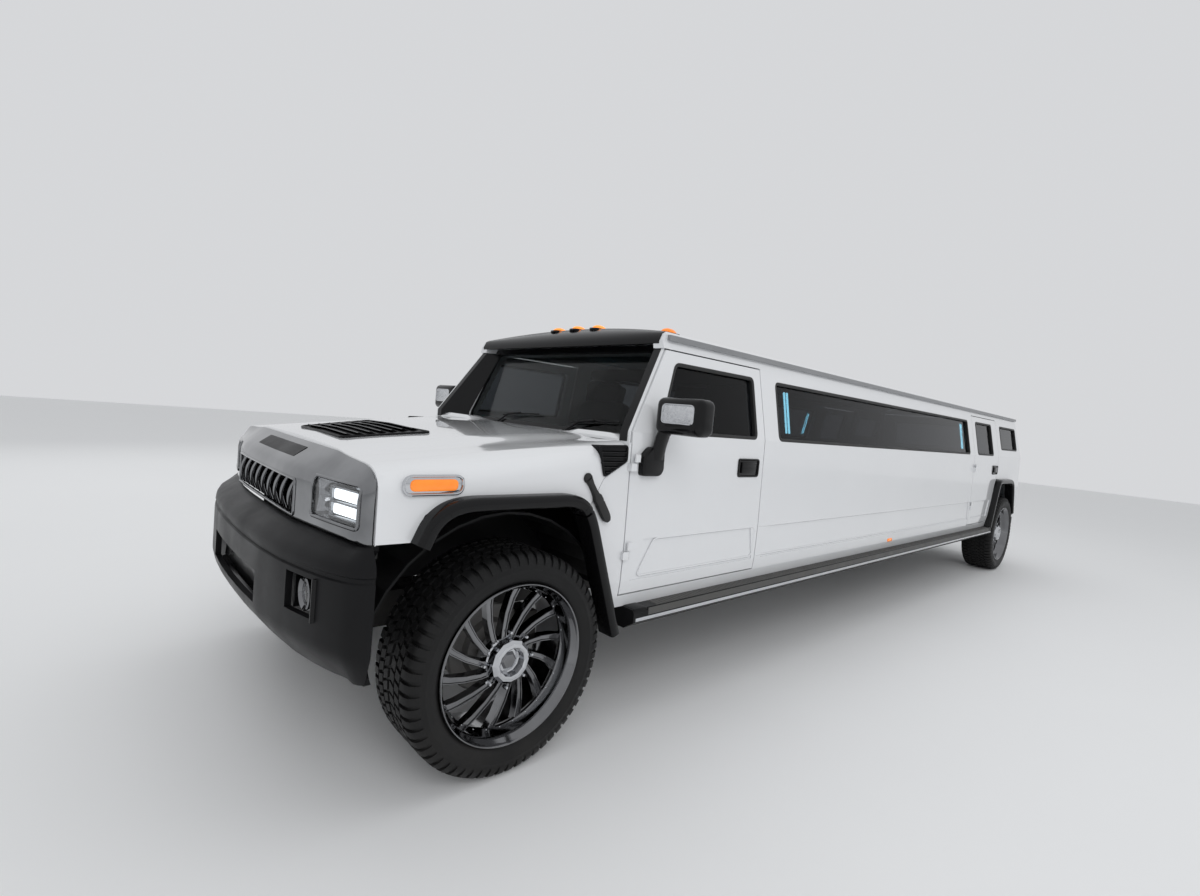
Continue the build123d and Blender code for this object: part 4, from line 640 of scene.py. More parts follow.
def make_ring_of_copies():
    """Copies of a shape turned about the Y axis, then set at a centre facing out."""
    tree, start, end, points, index, copies = start_growth("ring_of_copies", [
        ("Centre", "NodeSocketVector"), ("Facing", "NodeSocketFloat"),
    ])
    share = add_node(tree, "ShaderNodeMath", operation="DIVIDE")
    angle = add_node(tree, "ShaderNodeMath", operation="MULTIPLY", ins={1: tau})
    spin = tree.nodes.new("ShaderNodeCombineXYZ")
    join(tree, [
        (start, "Centre", points, "Position"),
        (index, "Index", share, 0),
        (start, "Copies", share, 1),
        (share, 0, angle, 0),
        (angle, 0, spin, "Y"),
        (start, "Facing", spin, "Z"),
        (spin, "Vector", copies, "Rotation"),
    ])
    return end_growth(tree, start, copies, end)


def make_row_of_copies():
    """Copies of a shape set out in a row from where it stands."""
    tree, start, end, points, index, copies = start_growth("row_of_copies", [("Step", "NodeSocketVector")])
    place = add_node(tree, "ShaderNodeVectorMath", operation="SCALE")
    join(tree, [
        (start, "Step", place, 0),
        (index, "Index", place, "Scale"),
        (place, 0, points, "Position"),
    ])
    return end_growth(tree, start, copies, end)


RING_OF_COPIES = make_ring_of_copies()
ROW_OF_COPIES = make_row_of_copies()


def grown(name, seed, tree, sizes, material, body, smooth=35.0, instead_of=()):
    """Repeat a seed shape with a tree and keep the result as a plain mesh."""
    bmesh.ops.remove_doubles(seed, verts=seed.verts, dist=0.00002)
    bmesh.ops.recalc_face_normals(seed, faces=seed.faces)
    seed_mesh = bpy.data.meshes.new(f"{name}_seed")
    seed.to_mesh(seed_mesh)
    seed.free()
    carrier = placed(f"{name}_seed", seed_mesh)
    growth = carrier.modifiers.new("growth", "NODES")
    growth.node_group = tree
    sizes = {**sizes, "Finish": material}
    for socket in tree.interface.items_tree:
        if socket.in_out == "INPUT" and socket.name in sizes:
            growth[socket.identifier] = sizes[socket.name]
    ready = carrier.evaluated_get(bpy.context.evaluated_depsgraph_get())
    mesh = bpy.data.meshes.new_from_object(ready)
    mesh.name = name
    bpy.data.objects.remove(carrier)
    bpy.data.meshes.remove(seed_mesh)
    settled(name, mesh, material, body, smooth, instead_of)


# Places on the body
def ahead(x):
    """A place along the car, measured ahead of the front axle."""
    return FRONT_AXLE + x


def behind(x):
    """A place along the car, measured ahead of the rear axle."""
    return REAR_AXLE + x


SKIN = ((0.566, 0.955), (0.69, 0.968), (0.885, 0.97), (1.395, 0.958), (1.86, 0.862))


def skin_y(z):
    """How far out the body side is at a height."""
    for (low_z, low_y), (high_z, high_y) in zip(SKIN, SKIN[1:]):
        if z <= high_z:
            return low_y + (high_y - low_y) * (z - low_z) / (high_z - low_z)
    return SKIN[-1][1]


def strip(shape, side, outline, section, closed=True, on_skin=True):
    """Run a (across, out) section round an outline in x and z on one body side."""
    count = len(outline)
    rings = []
    for index, point in enumerate(outline):
        before = outline[index - 1] if closed or index > 0 else point
        after = outline[(index + 1) % count] if closed or index < count - 1 else point
        run = (Vector(after) - Vector(before)).normalized()
        x, z = point
        out = skin_y(z) if on_skin else 0.0
        rings.append([
            (x - run.y * across, side * (out + stand), z + run.x * across)
            for across, stand in section
        ])
    if closed:
        rings.append(rings[0])
    skin_rings(shape, rings, caps=not closed)


# Tyres: a ribbed carcass with rows of tread blocks round it
CARCASS = (
    # out, radius
    (0.12, 0.3175), (0.134, 0.322), (0.145, 0.332), (0.152, 0.346), (0.1565, 0.364),
    (0.158, 0.378), (0.159, 0.38), (0.159, 0.385), (0.158, 0.387), (0.157, 0.398),
    (0.153, 0.412), (0.146, 0.424), (0.134, 0.4325), (0.115, 0.4365), (0.08, 0.4385),
    (0.04, 0.4395), (0.0, 0.4398),
)
TREAD_ROWS = 62
TREAD_BASE = 0.432
TREAD_TOP = 0.4492
TREAD_DRAW = 0.0012
LUG_LENGTH = 0.64
LUG_PATH = (
    # out, radius
    (0.092, TREAD_TOP), (0.122, 0.4478), (0.142, 0.44), (0.1545, 0.422), (0.1585, 0.406),
)
TREAD_BLOCKS = (
    # inner, outer, then gap before it, length and skew as shares of the pitch
    (0.05, 0.086, 0.36, 0.7, 0.22),
    (0.008, 0.044, 0.3, 0.74, 0.3),
)


def tread_block(shape, low_out, high_out, start, end, skew):
    """One raised block between two places across the tyre and two angles round it."""
    rings = []
    for radius, draw in ((TREAD_BASE, 0.0), (TREAD_TOP, TREAD_DRAW)):
        rings.append([
            (radius * sin(angle), out, radius * cos(angle)) for out, angle in (
                (low_out + draw, start), (high_out - draw, start + skew),
                (high_out - draw, end + skew), (low_out + draw, end),
            )
        ])
    skin_rings(shape, rings, caps=False)
    shape.faces.new([shape.verts.new(point) for point in rings[1]])


def shoulder_lug(shape, side, start, end):
    """One lug that runs over the shoulder and down the side wall."""
    rings = []
    for out, radius in LUG_PATH:
        under = radius - 0.011
        rings.append([
            (deep * sin(angle), side * across, deep * cos(angle)) for deep, across, angle in (
                (radius, out, start), (radius, out, end),
                (under, out - 0.004, end), (under, out - 0.004, start),
            )
        ])
    skin_rings(shape, rings)


def fit_tyres():
    """Four tyres, each a carcass with its tread grown round it."""
    pitch = tau / TREAD_ROWS
    profile = [(-out, radius) for out, radius in CARCASS] + list(CARCASS[:-1][::-1])
    for word in WHEELS:
        centre = middle(f"tyre_{word}")
        body = f"wheel_{word}"
        carcass = moved(turned(profile, 120), centre)
        finished(f"tyre_carcass_{word}", carcass, TYRE_RUBBER, body, instead_of=(f"tyre_{word}",))
        tread = bmesh.new()
        for side in (1, -1):
            phase = 0.0 if side > 0 else pitch * 0.5
            shoulder_lug(tread, side, phase, phase + pitch * LUG_LENGTH)
            for inner, outer, gap, length, skew in TREAD_BLOCKS:
                low_out, high_out = sorted((side * inner, side * outer))
                phase += pitch * gap
                tread_block(tread, low_out, high_out, phase, phase + pitch * length, side * pitch * skew)
        grown(
            f"tyre_tread_{word}", tread, RING_OF_COPIES,
            {"Copies": TREAD_ROWS, "Centre": centre, "Facing": 0.0}, TYRE_RUBBER, body,
        )


# Rims: a deep polished barrel, a stepped lip with rivets, fourteen swept blades and a faceted cap
BLADES = 14
NUTS = 8
RIVET_PLACE = (0.0, 0.0735, 0.2875)
NUT_PLACE = (0.0, 0.08, 0.113)
BARREL = (
    # out, radius
    (-0.142, 0.324), (-0.146, 0.3215), (-0.142, 0.313), (-0.12, 0.306), (-0.06, 0.296),
    (0.04, 0.293), (0.052, 0.29), (0.06, 0.282), (0.066, 0.28), (0.074, 0.283),
    (0.082, 0.29), (0.11, 0.296), (0.128, 0.302), (0.138, 0.312), (0.148, 0.315),
    (0.153, 0.3185), (0.1535, 0.3225), (0.149, 0.3255), (0.143, 0.324), (0.14, 0.3175),
    (-0.138, 0.3175),
)
CAP = (
    (0.02, 0.0), (0.02, 0.1), (0.084, 0.1), (0.09, 0.0955), (0.118, 0.088), (0.13, 0.076),
    (0.1315, 0.064), (0.127, 0.057), (0.099, 0.05), (0.095, 0.046), (0.095, 0.0),
)
CAP_CENTRE = ((0.09, 0.0), (0.09, 0.038), (0.1, 0.036), (0.106, 0.028), (0.109, 0.0))
DISC = (
    (-0.084, 0.0), (-0.084, 0.178), (-0.078, 0.185), (-0.062, 0.185), (-0.056, 0.178),
    (-0.056, 0.125), (-0.03, 0.112), (-0.02, 0.075), (0.03, 0.07), (0.03, 0.0),
)
BLADE_LINE = (
    # along x, along z, half width, out of the face, depth
    (0.064, -0.01, 0.0115, 0.092, 0.05),
    (0.12, 0.006, 0.0115, 0.086, 0.046),
    (0.18, 0.034, 0.0125, 0.078, 0.042),
    (0.235, 0.07, 0.014, 0.072, 0.038),
    (0.272, 0.103, 0.0165, 0.07, 0.036),
    (0.284, 0.117, 0.02, 0.07, 0.036),
)


def blade():
    """One swept blade with a raised edge along each side of its face."""
    shape = bmesh.new()
    rings = []
    for index, (x, z, half, out, depth) in enumerate(BLADE_LINE):
        before = BLADE_LINE[max(index - 1, 0)]
        after = BLADE_LINE[min(index + 1, len(BLADE_LINE) - 1)]
        run = Vector((after[0] - before[0], after[1] - before[1])).normalized()
        section = (
            (-half, out - depth), (-half, out - 0.002), (-half * 0.86, out), (-half * 0.62, out),
            (-half * 0.48, out - 0.005), (half * 0.48, out - 0.005), (half * 0.62, out),
            (half * 0.86, out), (half, out - 0.002), (half, out - depth),
        )
        rings.append([(x - run.y * across, stand, z + run.x * across) for across, stand in section])
    skin_rings(shape, rings)
    return shape


def rivet():
    """One small domed rivet on the rim's inner step."""
    profile = ((0.0, 0.0), (0.0, 0.0048), (0.0032, 0.0044), (0.0052, 0.0026), (0.0056, 0.0))
    return moved(turned(profile, 8, False), RIVET_PLACE)


def lug_nut():
    """One long six-sided nut beside the cap."""
    profile = ((0.0, 0.0), (0.0, 0.0085), (0.02, 0.0085), (0.025, 0.0055), (0.026, 0.0))
    return moved(turned(profile, 6, False), NUT_PLACE)


def fit_rims():
    """Four rims with their blades, rivets, nuts, caps and brake discs."""
    for word in WHEELS:
        centre = middle(f"tyre_{word}")
        facing = 0.0 if centre.y > 0 else pi
        place = Matrix.Translation(centre) @ Matrix.Rotation(facing, 4, "Z")
        body = f"wheel_{word}"
        for name, profile, steps, closed, material, smooth, replaced in (
            ("rim_barrel", BARREL, 120, True, WHEEL_CHROME, 40.0, (f"rim_{word}",)),
            ("hub_cap", CAP, 12, False, CAP_CHROME, 12.0, ()),
            ("cap_button", CAP_CENTRE, 6, False, WHEEL_CHROME, 12.0, ()),
            ("brake_disc", DISC, 64, False, CAST_METAL, 35.0, ()),
        ):
            part = moved(turned(profile, steps, closed), place)
            finished(f"{name}_{word}", part, material, body, smooth, replaced)
        ring = {"Centre": centre, "Facing": facing}
        for name, seed, copies, material, smooth in (
            ("rim_blades", blade(), BLADES, WHEEL_CHROME, 35.0),
            ("rim_rivets", rivet(), 2 * BLADES, CAP_CHROME, 40.0),
            ("lug_nuts", lug_nut(), NUTS, CAP_CHROME, 20.0),
        ):
            sizes = {**ring, "Copies": copies}
            grown(f"{name}_{word}", seed, RING_OF_COPIES, sizes, material, body, smooth)


# Skins with a wall, and tables read between their rows
def shelled(shape, inside, wall):
    """Give an open skin a wall on the side of a point inside it."""
    bmesh.ops.remove_doubles(shape, verts=shape.verts, dist=0.00002)
    bmesh.ops.recalc_face_normals(shape, faces=shape.faces)
    shape.normal_update()
    lean = sum(face.normal.dot(face.calc_center_median() - inside) for face in shape.faces)
    if lean < 0:
        bmesh.ops.reverse_faces(shape, faces=shape.faces[:])
        shape.normal_update()
    outer = list(shape.faces)
    rim = [line.verts[:] for line in shape.edges if line.is_boundary]
    twin = {vert: shape.verts.new(vert.co - vert.normal * wall) for vert in list(shape.verts)}
    for face in outer:
        shape.faces.new([twin[vert] for vert in reversed(face.verts)])
    for one, other in rim:
        shape.faces.new((one, other, twin[other], twin[one]))


def between(table, x):
    """The value at x on a table of (place, value), straight between its rows."""
    rows = sorted(table)
    if x <= rows[0][0]:
        return rows[0][1]
    for (low_x, low_value), (high_x, high_value) in zip(rows, rows[1:]):
        if x <= high_x:
            return low_value + (high_value - low_value) * (x - low_x) / (high_x - low_x)
    return rows[-1][1]


# Hood: one smooth clamshell with a raised dome, cut round the front arches
HOOD_ROWS = (
    # ahead, crown, dome out and up, valley out and up, shoulder out and up, side out and up
    (0.566, 1.25, 0.52, 1.243, 0.65, 1.229, 0.878, 1.22, 0.95, 1.18),
    (0.0, 1.326, 0.56, 1.312, 0.69, 1.292, 0.895, 1.285, 0.964, 1.235),
    (-0.573, 1.362, 0.6, 1.354, 0.72, 1.342, 0.905, 1.35, 0.962, 1.318),
)
HOOD_FOOT = (
    (0.566, 0.962), (0.445, 0.962), (0.4, 1.056), (0.3, 1.112), (-0.275, 1.112), (-0.345, 1.056),
    (-0.362, 1.06), (-0.43, 1.18), (-0.573, 1.262),
)
HOOD_STATIONS = (
    0.566, 0.563, 0.52, 0.48, 0.446, 0.435, 0.42, 0.4, 0.37, 0.335, 0.3, 0.22, 0.14, 0.06, 0.0, -0.08,
    -0.16, -0.24, -0.275, -0.31, -0.345, -0.362, -0.385, -0.41, -0.43, -0.47, -0.52, -0.57, -0.573,
)
HOOD_WALL = 0.018
HOOD_FRONT = HOOD_ROWS[0][0]
HOOD_BACK = HOOD_ROWS[-1][0]
HOOD_TUCK = 0.004
HOOD_TOP_POINTS = 20


def hood_row(x):
    """The hood's section numbers at a place, on a smooth curve through its three rows."""
    values = []
    for column in range(1, len(HOOD_ROWS[0])):
        total = 0.0
        for row in HOOD_ROWS:
            share = 1.0
            for other in HOOD_ROWS:
                if other is not row:
                    share *= (x - other[0]) / (row[0] - other[0])
            total += row[column] * share
        values.append(total)
    return values


def hood_half(x, drop):
    """Half of the hood's section at a place, dropped in by a wall."""
    crown, dome_y, dome_z, valley_y, valley_z, shoulder_y, shoulder_z, side_y, side_z = hood_row(x)
    foot = between(HOOD_FOOT, x)
    line = [
        (0.0, crown - drop), (dome_y - drop, dome_z - drop), (valley_y, valley_z - drop),
        (shoulder_y - drop * 0.7, shoulder_z - drop), (side_y - drop, side_z - drop * 0.6),
        (side_y + 0.004 - drop, min(foot, side_z - 0.02)),
    ]
    return softened(line, 0.045, 4)


def hood_z(x, y):
    """The height of the hood's top at a place."""
    return between([tuple(point) for point in hood_half(x, 0.0)[:HOOD_TOP_POINTS]], abs(y))


def fit_hood():
    """The hood skin over the engine, closed along its edges."""
    shape = bmesh.new()
    rings = []
    for x in HOOD_STATIONS:
        tuck = HOOD_TUCK if x in (HOOD_FRONT, HOOD_BACK) else 0.0
        outer = [(y, z - tuck) for y, z in hood_half(x, 0.0)]
        inner = [(y, z) for y, z in hood_half(x, HOOD_WALL)]
        outer = [(-y, z) for y, z in outer[::-1]] + outer[1:]
        inner = [(-y, z) for y, z in inner[::-1]] + inner[1:]
        rings.append([(ahead(x), y, z) for y, z in outer + inner[::-1]])
    skin_rings(shape, rings)
    finished("hood_skin", shape, WHITE_PAINT, "hood", 38.0, ("hood_shell",))


# Louvred vents: a wide one let into the hood and one on each side behind the arches
TOP_VENT = ((0.47, -0.29), (0.47, 0.29), (0.11, 0.37), (0.11, -0.37))
SIDE_VENT = ((-0.388, 1.324), (-0.556, 1.329), (-0.56, 1.262), (-0.428, 1.19))
SIDE_VENT_OUT = 0.9725
SIDE_VENT_IN = 0.905
SIDE_SLATS = (
    # height, front end, back end
    (1.202, -0.432, -0.462), (1.2245, -0.418, -0.502), (1.247, -0.404, -0.54),
    (1.2695, -0.4, -0.552), (1.292, -0.396, -0.552),
)
SIDE_SLAT_SECTION = ((0.968, 0.0), (0.9775, 0.004), (0.979, 0.008), (0.968, 0.016))
TOP_SLATS = 7
TOP_SLAT_PITCH = 0.049
TOP_SLAT_RUN = 6.6
TOP_SLAT_SECTION = ((0.432, 0.003), (0.446, 0.01), (0.442, 0.0125), (0.412, 0.004))
VENT_STAND = 0.0035


def fit_vents():
    """The vents' frames and panels, and their slats."""
    frames = bmesh.new()
    _, (front_x, front_half), (back_x, back_half), _ = TOP_VENT
    rings = []
    for step in range(13):
        share = step / 12
        x = front_x + (back_x - front_x) * share
        half = front_half + (back_half - front_half) * share
        rings.append([(ahead(x), y, hood_z(x, y) + VENT_STAND) for y in evenly(half, 24)])
    skin_rings(frames, rings, closed=False, caps=False)
    hoop(frames, [(ahead(x), y, hood_z(x, y) + 0.004) for x, y in rounded(TOP_VENT, 0.03, 4)], 0.006)
    panel = [(ahead(x), z) for x, z in rounded(SIDE_VENT, 0.012, 3)]
    for _, side in SIDES:
        place = side_frame(side, 0, SIDE_VENT_IN, 0)
        plate(frames, panel, SIDE_VENT_OUT - SIDE_VENT_IN - 0.001, place, 0.002)
        hoop(frames, [(x, side * SIDE_VENT_OUT, z) for x, z in panel], 0.0055)
    finished("vent_frames", frames, TEXTURED_PLASTIC, "hood", 35.0, ("hood_vents",))
    slat = bmesh.new()
    skin_rings(slat, [
        [(ahead(x), y, hood_z(0.42, y) + rise) for x, rise in TOP_SLAT_SECTION] for y in evenly(0.27, 16)
    ])
    fall = (hood_z(0.12, 0.0) - hood_z(0.44, 0.0)) / TOP_SLAT_RUN
    grown(
        "top_vent_slats", slat, ROW_OF_COPIES,
        {"Copies": TOP_SLATS, "Step": Vector((-TOP_SLAT_PITCH, 0.0, fall))}, GLOSS_BLACK, "hood",
    )
    for word, side in SIDES:
        slat = bmesh.new()
        for foot, *ends in SIDE_SLATS:
            skin_rings(slat, [
                [(ahead(x), side * out, foot + rise) for out, rise in SIDE_SLAT_SECTION] for x in ends
            ])
        finished(f"side_vent_slats_{word}", slat, GLOSS_BLACK, "hood", 25.0)


# Flares: a rounded band round each arch
FRONT_FLARE = (
    (0.445, 0.964), (0.402, 1.062), (0.3, 1.122), (-0.275, 1.122), (-0.362, 1.048), (-0.5745, 0.474),
)
REAR_FLARE = (
    (0.539, 0.572), (0.362, 1.048), (0.3, 1.122), (-0.275, 1.122), (-0.362, 1.048), (-0.493, 0.694),
)
FLARE_SECTION = (
    (0.0, 0.93), (0.0, 1.004), (0.003, 1.015), (0.01, 1.0235), (0.02, 1.0265), (0.042, 1.0265),
    (0.05, 1.021), (0.053, 1.012), (0.053, 0.93),
)
FLARE_PART_X = -0.3
FLARE_PART_Z = 1.056
FLARE_GAP = 0.006


def fit_flares():
    """Front flares in a hood part and a body part, and rear flares."""
    front = softened(FRONT_FLARE, 0.1, 8)
    upper = [
        (ahead(x), z) for x, z in front if x > FLARE_PART_X or z > FLARE_PART_Z + FLARE_GAP
    ]
    lower = [
        (ahead(x), z) for x, z in front if x < FLARE_PART_X and z < FLARE_PART_Z - FLARE_GAP
    ]
    back = [(behind(x), z) for x, z in softened(REAR_FLARE, 0.1, 8)]
    for name, body, lines, replaced in (
        ("hood_flare_bands", "hood", (upper,), "hood_flares"),
        ("body_flare_bands", "root", (lower, back), "body_flares"),
    ):
        shape = bmesh.new()
        for _, side in SIDES:
            for line in lines:
                strip(shape, side, line, FLARE_SECTION, False, False)
        finished(name, shape, GLOSS_BLACK, body, 40.0, (replaced,))


# Nose: a chrome shell with openings for the grille and the lamps
NOSE_BACK = 0.572
NOSE_PLAN = (
    # out, how far ahead the face is
    (0.0, 0.692), (0.3, 0.691), (0.43, 0.688), (0.56, 0.671), (0.72, 0.647), (0.86, 0.62),
    (0.915, 0.605), (0.934, 0.592), (0.944, 0.573),
)
NOSE_PROFILE = (
    # height, set back from the face
    (0.961, 0.01), (0.966, 0.002), (0.975, 0.0), (1.004, 0.0), (1.03, 0.0), (1.085, 0.0),
    (1.112, 0.0), (1.132, 0.003), (1.15, 0.01), (1.162, 0.019), (1.172, 0.032),
)
NOSE_LID = (
    # share of the way back, height
    (0.3, 1.192), (0.62, 1.212), (0.9, 1.23), (1.0, 1.236),
)
NOSE_STEPS = (
    0.0, 0.06, 0.12, 0.18, 0.24, 0.3, 0.36, 0.41, 0.455, 0.48, 0.52, 0.555, 0.6, 0.65, 0.7, 0.75, 0.8,
    0.84, 0.862, 0.885, 0.905, 0.92, 0.93, 0.938, 0.944,
)
NOSE_BREAK = 1.151
NOSE_EASE = ((0.0, 1.0), (0.85, 0.8), (0.944, 0.25))
GRILLE_HOLE = (0.455, 0.975, 1.112)
LAMP_HOLE = (0.6, 0.905, 1.004, 1.15)
LAMP_BEND = ((1.112, 0.0), (1.15, 0.01))
LAMP_MID = 0.79
LAMP_STEPS = 12
LAMP_BARS = (1.048, 1.1)
LAMP_RAILS = (1.074, 1.022, 1.126)
LAMP_POSTS = (0.704, 0.876)
LAMP_RING_Y = 0.65
LAMP_RING_Z = 1.076
LAMP_RING = ((0.0, 0.0), (-0.026, 0.03), (0.0, 0.04), (0.006, 0.038), (0.003, 0.034))
INSET_SECTION = (
    # share of the way back, stand
    (0.1, -0.002), (0.1, 0.0015), (0.14, 0.003), (0.3, 0.003), (0.5, 0.003), (0.66, 0.003),
    (0.7, 0.0015), (0.7, -0.002),
)


def nose_x(y):
    """How far ahead the nose's face is at a place across the car."""
    return between(NOSE_PLAN, abs(y))


def nose_holed(y, z):
    """True where the grille or a lamp opens the nose."""
    if y < GRILLE_HOLE[0] and GRILLE_HOLE[1] < z < GRILLE_HOLE[2]:
        return True
    return LAMP_HOLE[0] < y < LAMP_HOLE[1] and LAMP_HOLE[2] < z < LAMP_HOLE[3]


def nose_rim(outline, parts, side, stand):
    """A line round an opening, laid on the nose's curved face."""
    path = []
    for (y, z), after in zip(outline, outline[1:] + outline[:1]):
        for part in range(parts):
            mid_y = y + (after[0] - y) * part / parts
            mid_z = z + (after[1] - z) * part / parts
            x = nose_x(mid_y) - between(LAMP_BEND, mid_z) + stand
            path.append((ahead(x), side * mid_y, mid_z))
    return path


def fit_nose():
    """The chrome shell, the rim round the grille's opening, and the header's inset."""
    shape = bmesh.new()
    steps = both_ways(NOSE_STEPS)
    lid_top = NOSE_LID[-1][1]
    grid = []
    for y in steps:
        top = min(lid_top, hood_z(HOOD_FRONT, min(abs(y), 0.935)) - 0.001)
        squeeze = (top - NOSE_BREAK) / (lid_top - NOSE_BREAK)
        ease = between(NOSE_EASE, abs(y))
        column = []
        for z, back in NOSE_PROFILE:
            held = z if z < NOSE_BREAK else NOSE_BREAK + (z - NOSE_BREAK) * squeeze
            column.append((max(nose_x(y) - back * ease, NOSE_BACK), y, held))
        last_x = column[-1][0]
        for share, z in NOSE_LID:
            held = NOSE_BREAK + (z - NOSE_BREAK) * squeeze
            column.append((last_x + (NOSE_BACK - last_x) * share, y * (1 - 0.012 * share), held))
        grid.append([shape.verts.new((ahead(x), out, z)) for x, out, z in column])
    heights = [z for z, _ in NOSE_PROFILE] + [z for _, z in NOSE_LID]
    skin_grid(shape, grid, steps, heights, nose_holed)
    shelled(shape, Vector((ahead(0.45), 0.0, 1.05)), 0.01)
    half, foot, head = GRILLE_HOLE
    hoop(shape, nose_rim(box_line(-half, foot, half, head, 0.012, 3), 6, 1, 0.0), 0.006)
    finished("nose_shell", shape, BRIGHT_CHROME, "root", 30.0, ("grille_surround",))
    inset = bmesh.new()
    rings = []
    lid = ((0.0, NOSE_PROFILE[-1][0]),) + NOSE_LID
    for y in evenly(0.285, 20):
        front = nose_x(y) - NOSE_PROFILE[-1][1]
        rings.append([
            (ahead(front + (NOSE_BACK - front) * share), y, between(lid, share) + stand)
            for share, stand in INSET_SECTION
        ])
    skin_rings(inset, rings)
    finished("header_inset", inset, TEXTURED_PLASTIC, "root", 30.0)


def fit_headlamps():
    """Each lamp: a dark bowl, a bright two-bar light, a chrome rim and a clear lens."""
    inner, outer, foot, head = LAMP_HOLE
    bowls = bmesh.new()
    rims = bmesh.new()
    lights = bmesh.new()
    lenses = bmesh.new()
    bend = LAMP_BEND[0][0]
    for _, side in SIDES:
        rings = []
        for index in range(LAMP_STEPS + 1):
            y = inner + (outer - inner) * index / LAMP_STEPS
            x = nose_x(y)
            depth = 0.02 if index in (0, LAMP_STEPS) else 0.07
            rings.append([
                (ahead(x - back), side * y, z) for back, z in (
                    (0.006, foot), (depth, foot + 0.012), (depth + 0.006, (foot + head) / 2),
                    (depth, head - 0.012), (0.012, head),
                )
            ])
        skin_rings(bowls, rings, closed=False, caps=False)
        outline = box_line(inner, foot, outer, head, 0.018, 4)
        hoop(rims, nose_rim(outline, 4, side, 0.001), 0.0065)
        slope = (nose_x(0.86) - nose_x(0.72)) / 0.14
        turn = Matrix.Rotation(side * atan(slope), 4, "Z").inverted()
        mid_x = nose_x(LAMP_MID)
        for z in LAMP_BARS:
            place = (ahead(mid_x - 0.03), side * LAMP_MID, z)
            block(lights, place, (0.02, 0.15, 0.036), 0.006, 3, turn)
        for z in LAMP_RAILS:
            place = (ahead(mid_x - 0.024), side * LAMP_MID, z)
            block(rims, place, (0.022, 0.17, 0.008), 0.002, 2, turn)
        for y in LAMP_POSTS:
            place = (ahead(nose_x(y) - 0.026), side * y, LAMP_RAILS[0])
            block(rims, place, (0.022, 0.01, 0.11), 0.003, 2, turn)
        place = (ahead(nose_x(LAMP_RING_Y) - 0.036), side * LAMP_RING_Y, LAMP_RING_Z)
        merge(rims, moved(turned(LAMP_RING, 28, False), FACE_AHEAD, place))
        rings = []
        for index in range(LAMP_STEPS + 1):
            y = inner + 0.003 + (outer - inner - 0.006) * index / LAMP_STEPS
            x = nose_x(y) - 0.003
            rings.append([
                (ahead(x - back), side * y, z) for back, z in (
                    (0.0, foot + 0.003), (0.0, bend), (0.01, head - 0.003), (0.013, head - 0.003),
                    (0.003, bend), (0.003, foot + 0.003),
                )
            ])
        skin_rings(lenses, rings)
    finished("headlamp_bowls", bowls, WHEEL_CHROME, "root", 40.0)
    finished("headlamp_rims", rims, BRIGHT_CHROME, "root", 30.0)
    finished("headlamp_lights", lights, LAMP_LIGHT, "root", 30.0)
    finished("headlamp_lenses", lenses, LAMP_LENS, "root", 40.0, ("headlamps",))


# Grille: curved bars before crossed wires
GRILLE_BARS = 9
FIN_LEAN = 0.42
FIN_FACE = 0.676
FIN_BOW = 0.022
FIN_SKEW = 0.014
FIN_DEEP = 0.026
FIN_WIDE = 0.0105
FIN_SIDES = 10


def crossed_wires(name, x, start, slant, foot, head, radius, copies, pitch, material):
    """Two rows of thin wires that lean opposite ways."""
    for word, way in SIDES:
        wire = bmesh.new()
        tube(wire, [(x, start - way * slant, foot), (x, start + way * slant, head)], radius, 5)
        grown(
            f"{name}_{word}", wire, ROW_OF_COPIES,
            {"Copies": copies, "Step": Vector((0.0, pitch, 0.0))}, material, "root", 50.0,
        )


def fit_grille():
    """Curved chrome bars before a dark mesh of crossed wires."""
    half, foot, head = GRILLE_HOLE
    span = 2 * half / GRILLE_BARS
    bar = bmesh.new()
    rings = []
    for share in evenly(1.0, 10):
        z = (foot + head) / 2 + share * (head - foot) / 2
        x = FIN_FACE - FIN_BOW * share * share
        y = -half + span * 0.5 + FIN_SKEW * share
        ring = []
        for step in range(FIN_SIDES):
            deep = FIN_DEEP * cos(tau * step / FIN_SIDES)
            wide = FIN_WIDE * sin(tau * step / FIN_SIDES)
            ring.append((
                ahead(x + deep * cos(FIN_LEAN) - wide * sin(FIN_LEAN)), y + deep * sin(FIN_LEAN) + wide, z
            ))
        rings.append(ring)
    skin_rings(bar, rings)
    grown(
        "grille_fins", bar, ROW_OF_COPIES, {"Copies": GRILLE_BARS, "Step": Vector((0.0, span, 0.0))},
        BRIGHT_CHROME, "root", 50.0, ("grille_bars",),
    )
    crossed_wires(
        "grille_wires", x=ahead(0.636), start=-half - 0.01, slant=0.066, foot=foot - 0.006,
        head=head + 0.006, radius=0.0022, copies=43, pitch=0.0218, material=GLOSS_BLACK,
    )
    backing = bmesh.new()
    place = (ahead(0.606), 0.0, (foot + head) / 2)
    block(backing, place, (0.006, 2 * half + 0.06, head - foot + 0.02), 0.002)
    for z in (foot + 0.04, head - 0.04):
        block(backing, (ahead(0.628), 0.0, z), (0.014, 2 * half + 0.04, 0.012), 0.003)
    finished("grille_backing", backing, TEXTURED_PLASTIC, "root")


# Marker lamps on the hood's sides and along the roof's front edge
MARKER_X = 0.374
MARKER_Z = 1.162


